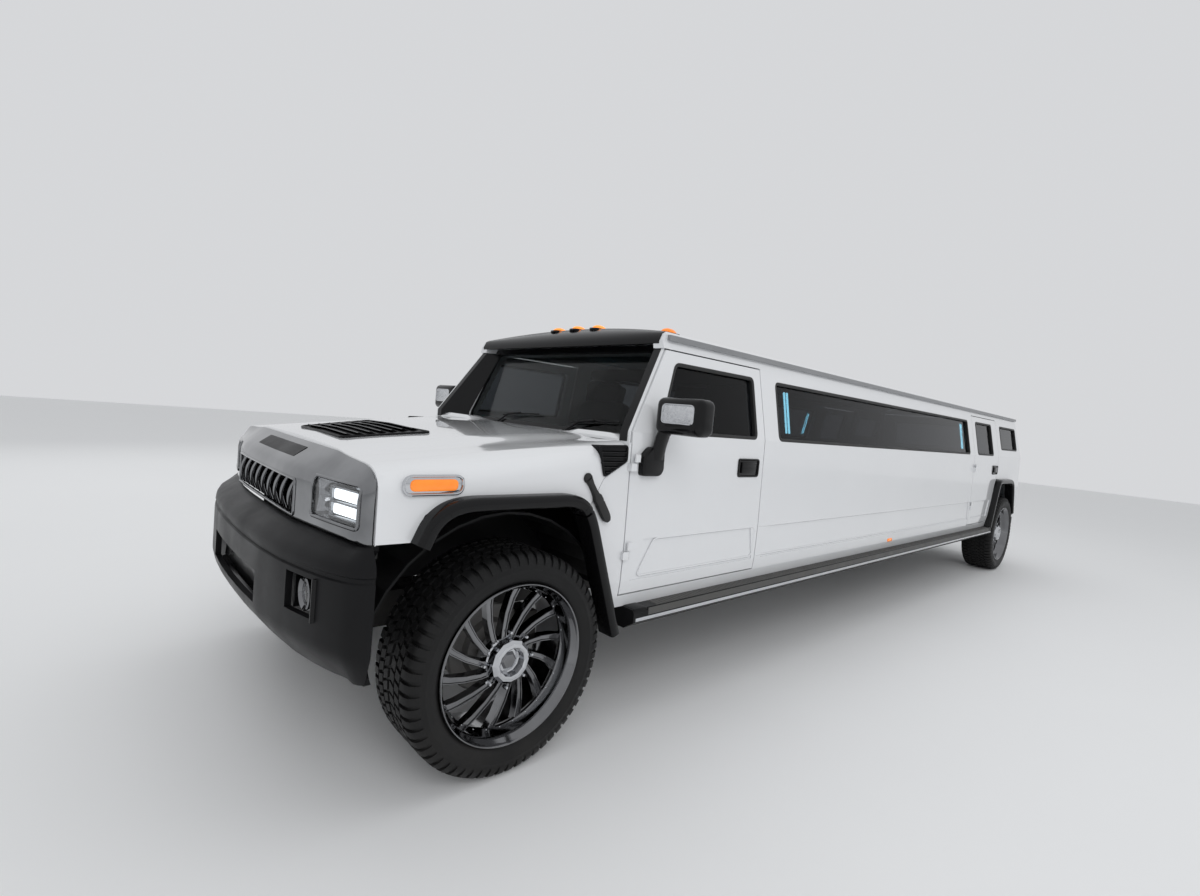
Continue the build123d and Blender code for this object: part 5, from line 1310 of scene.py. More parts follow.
def fit_markers():
    """Long rounded amber lenses in chrome rims."""
    lens = bmesh.new()
    rims = bmesh.new()
    outer = [(ahead(MARKER_X) + a, MARKER_Z + b) for a, b in oblong(0.112, 0.033, 0.0325, 8)]
    inner = [(ahead(MARKER_X) + a, MARKER_Z + b) for a, b in oblong(0.09, 0.021, 0.0205, 7)]
    for _, side in SIDES:
        place = side_frame(side, 0, 0.95, 0)
        plate(rims, outer, 0.014, place, 0.003)
        hoop(rims, [(x, side * 0.965, z) for x, z in outer], 0.005)
        plate(lens, inner, 0.024, place, 0.007, 3)
    finished("marker_rims", rims, CAP_CHROME, "hood", 35.0, ("marker_lamps",))
    finished("marker_lenses", lens, AMBER_GLOW, "hood", 50.0)


ROOF_LAMP_PLACES = (-0.745, -0.19, 0.0, 0.19, 0.745)
ROOF_LAMP_X = -1.012
LIT_PAST = 0.5
ROOF_CROWN = 1.965
ROOF_FALL = 0.083
ROOF_TILT = 0.17
LAMP_BASE = ((-0.056, -0.052), (0.056, -0.04), (0.056, 0.04), (-0.056, 0.052))


def fit_roof_lamps():
    """Five domed lamps on dark bases."""
    bases = bmesh.new()
    lit = bmesh.new()
    unlit = bmesh.new()
    for y in ROOF_LAMP_PLACES:
        level = ROOF_CROWN - abs(y) ** 2 * ROOF_FALL
        tilt = Matrix.Rotation(-y * ROOF_TILT, 4, "X")
        place = Matrix.Translation((ahead(ROOF_LAMP_X), y, level)) @ tilt
        sunk = place @ Matrix.Translation((0, 0, -0.004))
        plate(bases, rounded(LAMP_BASE, 0.035, 6), 0.012, sunk, 0.003)
        dome = bmesh.new()
        bmesh.ops.create_uvsphere(dome, u_segments=24, v_segments=12, radius=1.0)
        for vert in dome.verts:
            stretch = 0.052 if vert.co.x < 0 else 0.044
            vert.co = Vector((vert.co.x * stretch, vert.co.y * 0.038, max(vert.co.z, 0.0) * 0.024 + 0.006))
        bmesh.ops.remove_doubles(dome, verts=dome.verts, dist=0.0001)
        merge(lit if y > LIT_PAST else unlit, dome, place)
    finished("roof_lamp_bases", bases, GLOSS_BLACK, "root", 35.0, ("roof_lamps",))
    finished("roof_lamp_domes_lit", lit, AMBER_GLOW, "root", 50.0)
    finished("roof_lamp_domes", unlit, AMBER_LENS, "root", 50.0)


# Front bumper: a deep wrapped shell with a meshed opening and fog lamps
BUMPER_PLAN = (
    (0.0, 0.799), (0.2, 0.796), (0.4, 0.785), (0.58, 0.765), (0.7, 0.741), (0.8, 0.716),
    (0.86, 0.697), (0.92, 0.672), (0.965, 0.647), (0.992, 0.62), (1.003, 0.597),
)
BUMPER_PROFILE = (
    (0.484, 0.102), (0.487, 0.09), (0.505, 0.072), (0.56, 0.027), (0.592, 0.007), (0.612, 0.001),
    (0.63, 0.0), (0.692, 0.0), (0.752, 0.0), (0.826, 0.0), (0.842, 0.001), (0.847, 0.01),
    (0.861, 0.011), (0.866, 0.002), (0.886, 0.004), (0.902, 0.013), (0.918, 0.034), (0.936, 0.062),
    (0.95, 0.084), (0.956, 0.11),
)
BUMPER_STEPS = (
    0.0, 0.08, 0.16, 0.24, 0.32, 0.38, 0.42, 0.5, 0.58, 0.63, 0.655, 0.7, 0.74, 0.78, 0.825, 0.85, 0.88,
    0.91, 0.94, 0.965, 0.985, 0.997, 1.003, 1.0035,
)
BUMPER_BACK = 0.574
BUMPER_END = 1.0032
BUMPER_EASE = ((0.0, 1.0), (0.9, 0.9), (1.003, 0.35))
BUMPER_DRAW = ((0.0, 0.0), (0.7, 0.1), (1.003, 0.45))
MOUTH_HALF = 0.38
MOUTH_LOW = 0.63
MOUTH_TOP = 0.752
FOG_Y = 0.74
FOG_Z = 0.759
FOG_HOLE = (0.655, 0.825, 0.692, 0.826)
FOG_RIM = ((0.0, 0.0), (0.004, 0.036), (0.03, 0.049), (0.036, 0.055), (0.032, 0.06), (0.0, 0.06))
FOG_LENS = ((0.026, 0.0), (0.032, 0.0), (0.03, 0.03), (0.024, 0.048), (0.02, 0.048))


def bumper_holed(y, z):
    """True where the mouth or a fog lamp opens the bumper."""
    if y < MOUTH_HALF and MOUTH_LOW < z < MOUTH_TOP:
        return True
    return FOG_HOLE[0] < y < FOG_HOLE[1] and FOG_HOLE[2] < z < FOG_HOLE[3]


def fit_bumper():
    """The bumper's shell, its mesh and its fog lamps."""
    shape = bmesh.new()
    steps = both_ways(BUMPER_STEPS)
    grid = []
    for y in steps:
        reach = abs(y)
        ease = between(BUMPER_EASE, reach)
        draw = between(BUMPER_DRAW, reach)
        column = []
        for z, back in BUMPER_PROFILE:
            x = BUMPER_BACK if reach > BUMPER_END else between(BUMPER_PLAN, reach) - back * ease
            column.append(shape.verts.new((ahead(max(x, BUMPER_BACK)), y * (1 - back * draw), z)))
        grid.append(column)
    skin_grid(shape, grid, steps, [z for z, _ in BUMPER_PROFILE], bumper_holed)
    shelled(shape, Vector((ahead(0.4), 0.0, 0.75)), 0.024)
    finished("bumper_shell", shape, TEXTURED_PLASTIC, "root", 32.0, ("front_bumper",))
    # The black sheet curved behind the mouth stands in for the shade inside the opening: painted shade. A
    # plate and two walls stand behind each fog lamp.
    backing = bmesh.new()
    rings = []
    for y in evenly(0.405, 16):
        face = between(BUMPER_PLAN, abs(y)) - 0.02
        rings.append([
            (ahead(face - back), y, z) for back, z in (
                (0.0, MOUTH_LOW - 0.022), (0.026, MOUTH_LOW - 0.01), (0.032, (MOUTH_LOW + MOUTH_TOP) / 2),
                (0.026, MOUTH_TOP + 0.01), (0.0, MOUTH_TOP + 0.022), (0.045, MOUTH_TOP + 0.02),
                (0.045, MOUTH_LOW - 0.02),
            )
        ])
    skin_rings(backing, rings)
    for _, side in SIDES:
        block(backing, (ahead(0.668), side * FOG_Y, FOG_Z), (0.02, 0.2, 0.162), 0.004)
        for out in (0.648, 0.832):
            block(backing, (ahead(0.69), side * out, FOG_Z), (0.056, 0.008, 0.15), 0.002, 1)
    finished("bumper_backing_and_shade", backing, GLOSS_BLACK, "root")
    crossed_wires(
        "mouth_wires", x=ahead(0.74), start=-0.37, slant=0.026, foot=MOUTH_LOW - 0.004,
        head=MOUTH_TOP + 0.004, radius=0.003, copies=31, pitch=0.0247, material=TEXTURED_PLASTIC,
    )
    rims = bmesh.new()
    lenses = bmesh.new()
    for _, side in SIDES:
        place = (ahead(0.68), side * FOG_Y, FOG_Z)
        for target, profile in ((rims, FOG_RIM), (lenses, FOG_LENS)):
            merge(target, moved(turned(profile, 36, False), FACE_AHEAD, place))
    finished("fog_rims", rims, WHEEL_CHROME, "root", 35.0, ("fog_lamps",))
    finished("fog_lenses", lenses, LAMP_LENS, "root", 50.0)


# Mirrors, handles and latches
MIRROR_PLACE = (-0.764, 1.117, 1.484)
ARM_SIDES = 14
MIRROR_FOOT = (
    (-0.652, 1.192), (-0.776, 1.19), (-0.8, 1.215), (-0.796, 1.33), (-0.7, 1.33), (-0.652, 1.285),
)
MIRROR_ARM = (
    # ahead, out, up, half width, half depth
    (-0.748, 0.985, 1.27, 0.046, 0.018), (-0.752, 0.992, 1.33, 0.044, 0.02),
    (-0.758, 1.002, 1.385, 0.043, 0.024), (-0.764, 1.022, 1.43, 0.044, 0.034),
)


def fit_mirrors():
    """A black head on a bent arm, a bright front plate and a glass behind."""
    x, y, z = MIRROR_PLACE
    x = ahead(x)
    for word, side in SIDES:
        head = bmesh.new()
        block(head, (x, side * y, z), (0.116, 0.278, 0.172), 0.036, 5)
        foot = [(ahead(along), up) for along, up in rounded(MIRROR_FOOT, 0.018, 4)]
        plate(head, foot, 0.048, side_frame(side, 0, 0.95, 0), 0.012, 3)
        rings = []
        for along, out, up, wide, deep in MIRROR_ARM:
            rings.append([
                (ahead(along) + wide * cos(angle), side * (out + deep * sin(angle)), up)
                for angle in (tau * step / ARM_SIDES for step in range(ARM_SIDES))
            ])
        skin_rings(head, rings)
        body = f"front_door_{word}"
        finished(f"mirror_head_{word}", head, GLOSS_BLACK, body, 35.0, (f"mirror_{word}",))
        bright = bmesh.new()
        face = oblong(0.092, 0.042, 0.02)
        forward = end_frame(1, x + 0.0555, side * (y + 0.004), z + 0.01)
        plate(bright, face, 0.0045, forward, 0.002)
        finished(f"mirror_front_{word}", bright, MIRROR_CHROME, body)
        rim = bmesh.new()
        hoop(rim, [forward @ Vector((a, b, 0.003)) for a, b in face], 0.004)
        plate(rim, oblong(0.12, 0.068, 0.024), 0.002, end_frame(-1, x - 0.0565, side * y, z), 0.001)
        finished(f"mirror_rim_{word}", rim, CAP_CHROME, body)


def fit_handles():
    """Paddle handles in square black surrounds."""
    outer = oblong(0.102, 0.05, 0.014, 4)
    for place, door in ((ahead(-1.57), "front_door"), (behind(0.4), "rear_door")):
        for word, side in SIDES:
            shape = bmesh.new()
            level = side_frame(side, place, 0.951, 1.232)
            plate(shape, outer, 0.014, level, 0.003)
            hoop(shape, [level @ Vector((a * 0.975, b * 0.95, 0.013)) for a, b in outer], 0.0065)
            block(shape, (place + 0.008, side * 0.97, 1.23), (0.14, 0.012, 0.056), 0.005, 3)
            block(shape, (place + 0.008, side * 0.972, 1.262), (0.15, 0.007, 0.01), 0.003, 2)
            finished(f"{door}_handle_{word}", shape, GLOSS_BLACK, f"{door}_{word}", 30.0)


LATCH_KNOB = ((0.0, 0.0), (0.0, 0.021), (0.01, 0.023), (0.017, 0.019), (0.019, 0.0))
LATCH_ACROSS = Vector((0.825, -0.566))
LATCH_LINE = (
    # ahead, up, half width, out
    (-0.337, 1.179, 0.017, 0.977), (-0.352, 1.156, 0.013, 0.978), (-0.37, 1.13, 0.013, 0.979),
    (-0.384, 1.11, 0.016, 0.98), (-0.392, 1.098, 0.024, 0.982), (-0.404, 1.081, 0.024, 0.983),
    (-0.408, 1.075, 0.021, 0.982), (-0.412, 1.069, 0.024, 0.983), (-0.445, 1.021, 0.024, 0.984),
    (-0.459, 1.001, 0.02, 0.984), (-0.466, 0.991, 0.012, 0.983),
)
LATCH_SECTION = (
    # share of the half width, share of the depth
    (-1.0, -1.0), (-1.0, 0.2), (-0.85, 0.75), (-0.5, 1.0), (0.5, 1.0), (0.85, 0.75), (1.0, 0.2),
    (1.0, -1.0),
)
LATCH_DEPTH = 0.01


def fit_latches():
    """Rubber draw latches over the hood's rear corners."""
    shape = bmesh.new()
    for _, side in SIDES:
        turn = Matrix.Rotation(0.0 if side > 0 else pi, 4, "Z")
        place = (ahead(-0.335), side * 0.962, 1.183)
        merge(shape, moved(turned(LATCH_KNOB, 20, False), turn, place))
        rings = []
        for x, z, half, out in LATCH_LINE:
            across = LATCH_ACROSS * half
            rings.append([
                (ahead(x + across.x * wide), side * (out + LATCH_DEPTH * deep), z + across.y * wide)
                for wide, deep in LATCH_SECTION
            ])
        skin_rings(shape, rings)
    finished("latch_straps", shape, SEAL_RUBBER, "hood", 40.0, ("hood_latches",))


# Windscreen surround, roof visor, white cowl panel and wipers
SCREEN_FOOT = Vector((-0.752, 0.0, 1.348))
SCREEN_UP = Vector((-0.193, 0.0, 0.504))
PILLAR_LEVELS = (1.349, 1.395, 1.6, 1.8175)
SCREEN_BAND_OUT = ((0.922, 0.003), (0.833, SCREEN_UP.length - 0.002))
SCREEN_BAND_IN = ((0.806, 0.028), (0.746, SCREEN_UP.length - 0.042))
VISOR_HALF = 0.835
VISOR_FALL = 0.0824
VISOR_SLOPE = 0.641
WIPER_STARTS = (0.28, -0.42)
WIPER_ARM = ((0.0, -0.005, 0.014), (0.1, 0.06, 0.016), (0.22, 0.078, 0.014))
WIPER_BLADE = ((0.02, 0.058, 0.001), (0.22, 0.076, 0.005), (0.4, 0.085, 0.004))
PILLAR_BEND = 1.395
PILLAR_END = 1.817
PILLAR_FOOT = (
    # plan of the black pillar trim at its foot, then at its head
    (-0.75, 0.796), (-0.5835, 0.8865), (-0.5835, 0.936), (-0.587, 0.936), (-0.587, 0.8905),
    (-0.754, 0.802),
)
PILLAR_HEAD = (
    (-0.933, 0.738), (-0.8555, 0.8005), (-0.8555, 0.848), (-0.859, 0.848), (-0.859, 0.8045),
    (-0.937, 0.744),
)


def on_screen(y, share, stand):
    """A place on the windscreen's plane: across, share of the height, and how far it stands off."""
    up = SCREEN_UP.normalized()
    out = Vector((up.z, 0.0, -up.x))
    point = SCREEN_FOOT + up * share + out * stand
    return (ahead(point.x), y, point.z)


def screen_line(corners, radius):
    """A closed line on the screen through two corners and their mirror images."""
    (foot_y, foot), (head_y, head) = corners
    return rounded([(-foot_y, foot), (foot_y, foot), (head_y, head), (-head_y, head)], radius, 3)


def fit_screen_trim():
    """The black band round the windscreen, the visor over it and the wipers."""
    band = bmesh.new()
    outer = screen_line(SCREEN_BAND_OUT, 0.008)
    inner = screen_line(SCREEN_BAND_IN, 0.05)
    rings = []
    for one, other in zip(outer + outer[:1], inner + inner[:1]):
        rings.append([
            on_screen(one.x, one.y, 0.0005), on_screen(one.x * 0.998, one.y, 0.004),
            on_screen(other.x, other.y, 0.004), on_screen(other.x, other.y, -0.013),
        ])
    skin_rings(band, rings, caps=False)
    rings = []
    for y in evenly(VISOR_HALF, 32):
        top = ROOF_CROWN - y * y * VISOR_FALL
        slope_x = -0.868 - (top - 1.895) / VISOR_SLOPE
        rings.append([
            (ahead(x), y, z) for x, z in (
                (-0.875, 1.842), (-0.848, 1.843), (-0.8455, 1.857), (-0.864, 1.8965),
                (slope_x + 0.002, top + 0.0015), (slope_x - 0.03, top + 0.0035),
                (slope_x - 0.03, top + 0.0005), (slope_x, top - 0.002),
                (-0.8675, 1.895), (-0.851, 1.857), (-0.853, 1.848), (-0.875, 1.846),
            )
        ])
    skin_rings(band, rings)
    for _, side in SIDES:
        rings = []
        for z in PILLAR_LEVELS:
            share = min(max((z - PILLAR_BEND) / (PILLAR_END - PILLAR_BEND), 0.0), 1.0)
            rings.append([
                (ahead(x + (head_x - x) * share), side * (y + (head_y - y) * share), z)
                for (x, y), (head_x, head_y) in zip(PILLAR_FOOT, PILLAR_HEAD)
            ])
        skin_rings(band, rings)
    finished("windscreen_band", band, GLOSS_BLACK, "root", 40.0)
    wipers = bmesh.new()
    for start in WIPER_STARTS:
        arm, edge = (
            [on_screen(start + along, up, stand) for along, up, stand in line]
            for line in (WIPER_ARM, WIPER_BLADE)
        )
        tube(wipers, arm, 0.006, 8)
        tube(wipers, edge, 0.0045, 6)
        block(wipers, arm[0], (0.03, 0.03, 0.022), 0.006, 2)
    finished("wiper_arms", wipers, TEXTURED_PLASTIC, "root", 35.0)


COWL_RISE = (
    # out, rise
    (0.0, 0.0), (0.44, 0.0), (0.5, 0.008), (0.56, 0.02), (0.8, 0.022), (0.86, 0.014), (0.888, 0.0),
)


def fit_cowl_panel():
    """White panel between the hood and the windscreen, raised at both ends."""
    shape = bmesh.new()
    rings = []
    for y in evenly(0.888, 44):
        rise = between(COWL_RISE, abs(y))
        rings.append([
            (ahead(x), y, z) for x, z in (
                (-0.582, 1.3455), (-0.584, 1.352 + rise * 0.3), (-0.604, 1.357 + rise),
                (-0.69, 1.358 + rise), (-0.738 + rise * 0.2, 1.354 + rise * 0.4), (-0.746, 1.3455),
            )
        ])
    skin_rings(shape, rings)
    finished("cowl_panel", shape, WHITE_PAINT, "root", 35.0)
    slot = bmesh.new()
    block(slot, (ahead(-0.64), -0.3, 1.3575), (0.006, 0.018, 0.004), 0.0015, 1)
    grown(
        "cowl_slots", slot, ROW_OF_COPIES, {"Copies": 20, "Step": Vector((0.0, 0.03, 0.0))},
        TEXTURED_PLASTIC, "root",
    )


# Rubber seals round the side windows and the tailgate's window
SEAL_SECTION = (
    (-0.007, -0.012), (-0.007, 0.0012), (-0.003, 0.0028), (0.006, 0.0026), (0.012, -0.002), (0.012, -0.02),
    (0.008, -0.02),
)
WINDOW_FOOT = 1.402
WINDOW_TOP = 1.752


def window_line(front_x, back_x, foot=WINDOW_FOOT, lean=0.0):
    """The outline of one side window."""
    return rounded(
        [(front_x, foot), (front_x - lean, WINDOW_TOP), (back_x, WINDOW_TOP), (back_x, foot)], 0.034, 5
    )


def fit_seals():
    """One seal round each side window."""
    for name, body, lines in (
        ("front_door_seal", "front_door", (window_line(ahead(-0.788), ahead(-1.64), lean=0.15),)),
        ("rear_door_seal", "rear_door", (window_line(behind(1.12), behind(0.505)),)),
        ("fixed_window_seals", "root", (
            window_line(ahead(-1.89), behind(1.41)), window_line(behind(0.13), behind(-0.61), 1.48),
        )),
    ):
        for word, side in SIDES:
            shape = bmesh.new()
            for line in lines:
                strip(shape, side, line, SEAL_SECTION)
            owner = body if body == "root" else f"{body}_{word}"
            finished(f"{name}_{word}", shape, SEAL_RUBBER, owner, 40.0)


# Steps: dark cores with pale ribbed pads, chrome edges and end caps
STEP_FRONT = 2.965
STEP_BACK = behind(0.543)
STEP_TOP = 0.566
STEP_EDGE = 1.035
STEP_RIBS = 230
STEP_MID = 0.992
STEP_STRIPS = (
    # pad or chrome, shift, out, drop, shorter by, width, height, edge, rounding steps
    ("pads", -0.04, STEP_MID, 0.0005, 0.26, 0.062, 0.003, 0.001, 1),
    ("pads", 0.0, STEP_EDGE - 0.001, 0.018, 0.2, 0.0045, 0.034, 0.002, 1),
    ("chrome", 0.0, STEP_EDGE - 0.0012, 0.048, 0.03, 0.0055, 0.018, 0.0025, 2),
)


def fit_steps():
    """Pads, chrome strips and caps on both steps."""
    parts = {"pads": bmesh.new(), "chrome": bmesh.new(), "caps": bmesh.new()}
    length = STEP_FRONT - STEP_BACK
    mid_x = (STEP_FRONT + STEP_BACK) / 2
    for word, side in SIDES:
        for name, shift, out, drop, shorter, wide, tall, edge, steps in STEP_STRIPS:
            place = (mid_x + shift, side * out, STEP_TOP - drop)
            block(parts[name], place, (length - shorter, wide, tall), edge, steps)
        for x in (STEP_FRONT - 0.05, STEP_BACK + 0.05):
            block(parts["caps"], (x, side * 0.985, STEP_TOP - 0.018), (0.096, 0.092, 0.042), 0.01, 3)
        rib = bmesh.new()
        block(rib, (STEP_BACK + 0.16, side * STEP_MID, STEP_TOP + 0.0012), (0.01, 0.054, 0.0035), 0.001, 1)
        step = Vector(((length - 0.34) / (STEP_RIBS - 1), 0.0, 0.0))
        sizes = {"Copies": STEP_RIBS, "Step": step}
        grown(f"step_ribs_{word}", rib, ROW_OF_COPIES, sizes, STEP_TREAD, "root")
    for name, material in (("pads", STEP_TREAD), ("chrome", CAP_CHROME), ("caps", TEXTURED_PLASTIC)):
        finished(f"step_{name}", parts[name], material, "root")


# Padded seats, bench and headrests
SEAM_WIDTH = 0.045
SEAM_DEPTH = 0.1
BELL = 2.718
PLUMP = 7.0
THREE_SEAMS = (-0.5, 0.0, 0.5)
SEAT_Y = 0.39
SEAT_LEAN = Matrix.Rotation(-0.255, 4, "Y")
SEAT_PADS = (
    # ahead, up, size, seams, axis they cross, turn
    (-1.315, 0.915, (0.5, 0.51, 0.12), (-0.35, 0.1, 0.5), 0, NO_TURN),
    (-1.605, 1.265, (0.11, 0.5, 0.6), (-0.5, -0.1, 0.3), 2, SEAT_LEAN),
    (-1.7, 1.605, (0.085, 0.26, 0.16), (), 2, SEAT_LEAN),
)
BENCH_PADS = 6
BENCH_GAP = 0.006
CROSS_PADS = (0.262, -0.262)


def cushion(shape, centre, size, seams, along, turn=NO_TURN):
    """A crowned pad whose sides pull in, with sewn channels across it."""
    part = bmesh.new()
    bmesh.ops.create_cube(part, size=2.0)
    bmesh.ops.subdivide_edges(part, edges=part.edges[:], cuts=11, use_grid_fill=True)
    for vert in part.verts:
        spread = sum(abs(value) ** PLUMP for value in vert.co) ** (1 / PLUMP)
        vert.co = vert.co / spread
        pinch = sum(BELL ** (-((vert.co[along] - seam) / SEAM_WIDTH) ** 2) for seam in seams)
        squeeze = 1 - SEAM_DEPTH * min(pinch, 1.0)
        others = [axis for axis in range(3) if axis != along]
        for axis in others:
            vert.co[axis] *= squeeze if axis == others[-1] else 1 - (1 - squeeze) * 0.2
    bmesh.ops.scale(part, vec=[value / 2 for value in size], verts=part.verts)
    merge(shape, part, Matrix.Translation(centre) @ turn)


def fit_seats():
    """Two front seats as one padded piece, and the long bench and cross bench as another."""
    seats = bmesh.new()
    for _, side in SIDES:
        y = side * SEAT_Y
        block(seats, (ahead(-1.37), y, 0.8), (0.5, 0.46, 0.25), 0.03, 3)
        for x, z, size, seams, along, turn in SEAT_PADS:
            cushion(seats, (ahead(x), y, z), size, seams, along, turn)
    made = finished("front_seat_pads", seats, BLACK_LEATHER, "root", 60.0, ("front_seats",))
    bench = bmesh.new()
    front_x = ahead(-1.92)
    back_x = behind(1.3)
    pitch = (front_x - back_x) / BENCH_PADS
    block(bench, ((front_x + back_x) / 2, -0.662, 0.82), (front_x - back_x - 0.01, 0.42, 0.3), 0.02, 3)
    block(bench, (behind(-0.38), 0.0, 0.82), (0.54, 1.05, 0.3), 0.02, 3)
    for index in range(BENCH_PADS):
        x = front_x - pitch * (index + 0.5)
        wide = pitch - BENCH_GAP
        cushion(bench, (x, -0.64, 1.022), (wide, 0.4, 0.116), THREE_SEAMS, 0)
        cushion(bench, (x, -0.822, 1.155), (wide, 0.112, 0.36), THREE_SEAMS, 0)
    for y in CROSS_PADS:
        cushion(bench, (behind(-0.35), y, 1.022), (0.48, 0.52, 0.116), THREE_SEAMS, 1)
        cushion(bench, (behind(-0.602), y, 1.155), (0.112, 0.52, 0.36), THREE_SEAMS, 1)
    made = finished("lounge_bench_pads", bench, BLACK_LEATHER, "root", 60.0, ("lounge_bench",))


# Pressed fields: soft beads on the doors and along the sides
FIELD_LOW = 0.706
FIELD_HIGH = 0.882
BEAD_RADIUS = 0.0045
BEAD_SINK = 0.0022
BEAD_STEP = 0.25
FRONT_FIELD = ((-0.7, FIELD_LOW), (-1.69, FIELD_LOW), (-1.69, FIELD_HIGH), (-0.805, FIELD_HIGH))


def bead(shape, side, points):
    """A soft bead lying on the skin along a line of places."""
    path = []
    for one, other in zip(points, points[1:]):
        steps = max(2, int((Vector(other) - Vector(one)).length / BEAD_STEP) + 1)
        for step in range(steps):
            mid = Vector(one).lerp(Vector(other), step / steps)
            path.append((mid.x, side * (skin_y(mid.y) - BEAD_SINK), mid.y))
    path.append((points[-1][0], side * (skin_y(points[-1][1]) - BEAD_SINK), points[-1][1]))
    tube(shape, path, BEAD_RADIUS, 8)


def fit_press_lines():
    """The raised lines of the doors' lower fields and of the long sides."""
    field = [(ahead(x), z) for x, z in rounded(FRONT_FIELD, 0.03, 5)]
    for word, side in SIDES:
        shape = bmesh.new()
        bead(shape, side, field + field[:1])
        finished(f"front_door_lines_{word}", shape, WHITE_PAINT, f"front_door_{word}", 50.0)
        for name, body, front_x, back_x in (
            ("side_lines", "root", ahead(-1.745), behind(1.245)),
            ("rear_door_lines", f"rear_door_{word}", behind(1.19), behind(0.64)),
        ):
            shape = bmesh.new()
            for z in (FIELD_LOW, FIELD_HIGH):
                bead(shape, side, [(front_x, z), (back_x, z)])
            finished(f"{name}_{word}", shape, WHITE_PAINT, body, 50.0)


# Lit strips inside the ends of the long windows
def fit_cabin_lights():
    """Two upright light strips behind each long window, in slim holders."""
    holders = bmesh.new()
    strips = bmesh.new()
    for _, side in SIDES:
        for x in (ahead(-2.05), behind(1.56)):
            place = side_frame(side, x, 0.88, 1.578, -0.19)
            plate(holders, oblong(0.045, 0.145, 0.02, 4), 0.006, place, 0.002)
            for out in (-0.02, 0.016):
                line = box_line(out - 0.007, -0.13, out + 0.007, 0.13, 0.006, 4)
                plate(strips, line, 0.011, place, 0.003)
    finished("cabin_light_holders", holders, CAP_CHROME, "root")
    finished("cabin_light_strips", strips, CABIN_LIGHT, "root")


# Rear: a bumper with rounded edges, lamps in bezels, and the tailgate's seal and handle
def swept(shape, plan, profile):
    """A closed profile of (set back, height) carried along a plan line, square to it."""
    plan = [Vector(point) for point in plan]
    rings = []
    for index, point in enumerate(plan):
        run = (plan[min(index + 1, len(plan) - 1)] - plan[max(index - 1, 0)]).normalized()
        inward = Vector((run.y, -run.x))
        rings.append([
            (point.x + inward.x * back, point.y + inward.y * back, z) for back, z in profile
        ])
    skin_rings(shape, rings)


REAR_PROFILE = (
    # set back, height
    (0.06, 0.502), (0.022, 0.502), (0.008, 0.508), (0.001, 0.522), (0.0, 0.54), (0.0, 0.608),
    (0.01, 0.613), (0.01, 0.64), (0.0, 0.645), (0.0, 0.7), (0.001, 0.735), (0.008, 0.751),
    (0.022, 0.7585), (0.06, 0.7585),
)
LENS_PARTS = ((-0.104, -0.04), (-0.036, 0.036), (0.04, 0.104))
GATE_LEAN = 0.1978
GATE_BREAK = 1.395


def fit_rear():
    """Rear bumper shell, step pad, tail lamps, window seal and tailgate handle."""
    wing = high("rear_bumper").x
    half = softened([
        (behind(-0.83), 0.0), (behind(-0.83), 0.7), (behind(-0.771), 0.958), (wing, 0.985),
    ], 0.05, 5)
    plan = [(point.x, -point.y) for point in half[::-1]] + [(point.x, point.y) for point in half[1:]]
    shape = bmesh.new()
    swept(shape, plan, REAR_PROFILE)
    block(shape, (behind(-0.79), 0.0, 0.7575), (0.06, 1.3, 0.012), 0.004, 2)
    finished("rear_bumper_shell", shape, TEXTURED_PLASTIC, "root", 35.0, ("rear_bumper",))
    lenses = bmesh.new()
    bezels = bmesh.new()
    for _, side in SIDES:
        place = end_frame(-1, behind(-0.778), side * 0.85, 1.27)
        plate(bezels, oblong(0.054, 0.114, 0.016, 4), 0.02, place, 0.004)
        for foot, head in LENS_PARTS:
            plate(lenses, box_line(-0.045, foot, 0.045, head, 0.012, 4), 0.03, place, 0.007, 3)
    finished("tail_lamp_bezels", bezels, GLOSS_BLACK, "root", 35.0)
    finished("tail_lamp_lenses", lenses, RED_LENS, "root", 45.0, ("tail_lamps",))
    seal = bmesh.new()
    hoop(seal, [
        (behind(-0.78 + (z - GATE_BREAK) * GATE_LEAN) - 0.0005, y, z)
        for y, z in box_line(-0.622, 1.433, 0.622, 1.747, 0.03, 4)
    ], 0.008)
    finished("tailgate_seal", seal, SEAL_RUBBER, "tailgate", 40.0)
    handle = bmesh.new()
    plate(handle, oblong(0.11, 0.045, 0.014, 4), 0.009, end_frame(-1, behind(-0.7835), 0.0, 1.265), 0.003)
    block(handle, (behind(-0.7965), 0.0, 1.272), (0.012, 0.16, 0.04), 0.005, 2)
    finished("tailgate_handle", handle, GLOSS_BLACK, "tailgate", 35.0)


# Partition and bar between the cab and the lounge
BATTENS = 60
BATTEN_INSET = 0.06
PARTITION_X = -1.825
PARTITION_RAIL = 1.36
BAR_TOP = 1.118


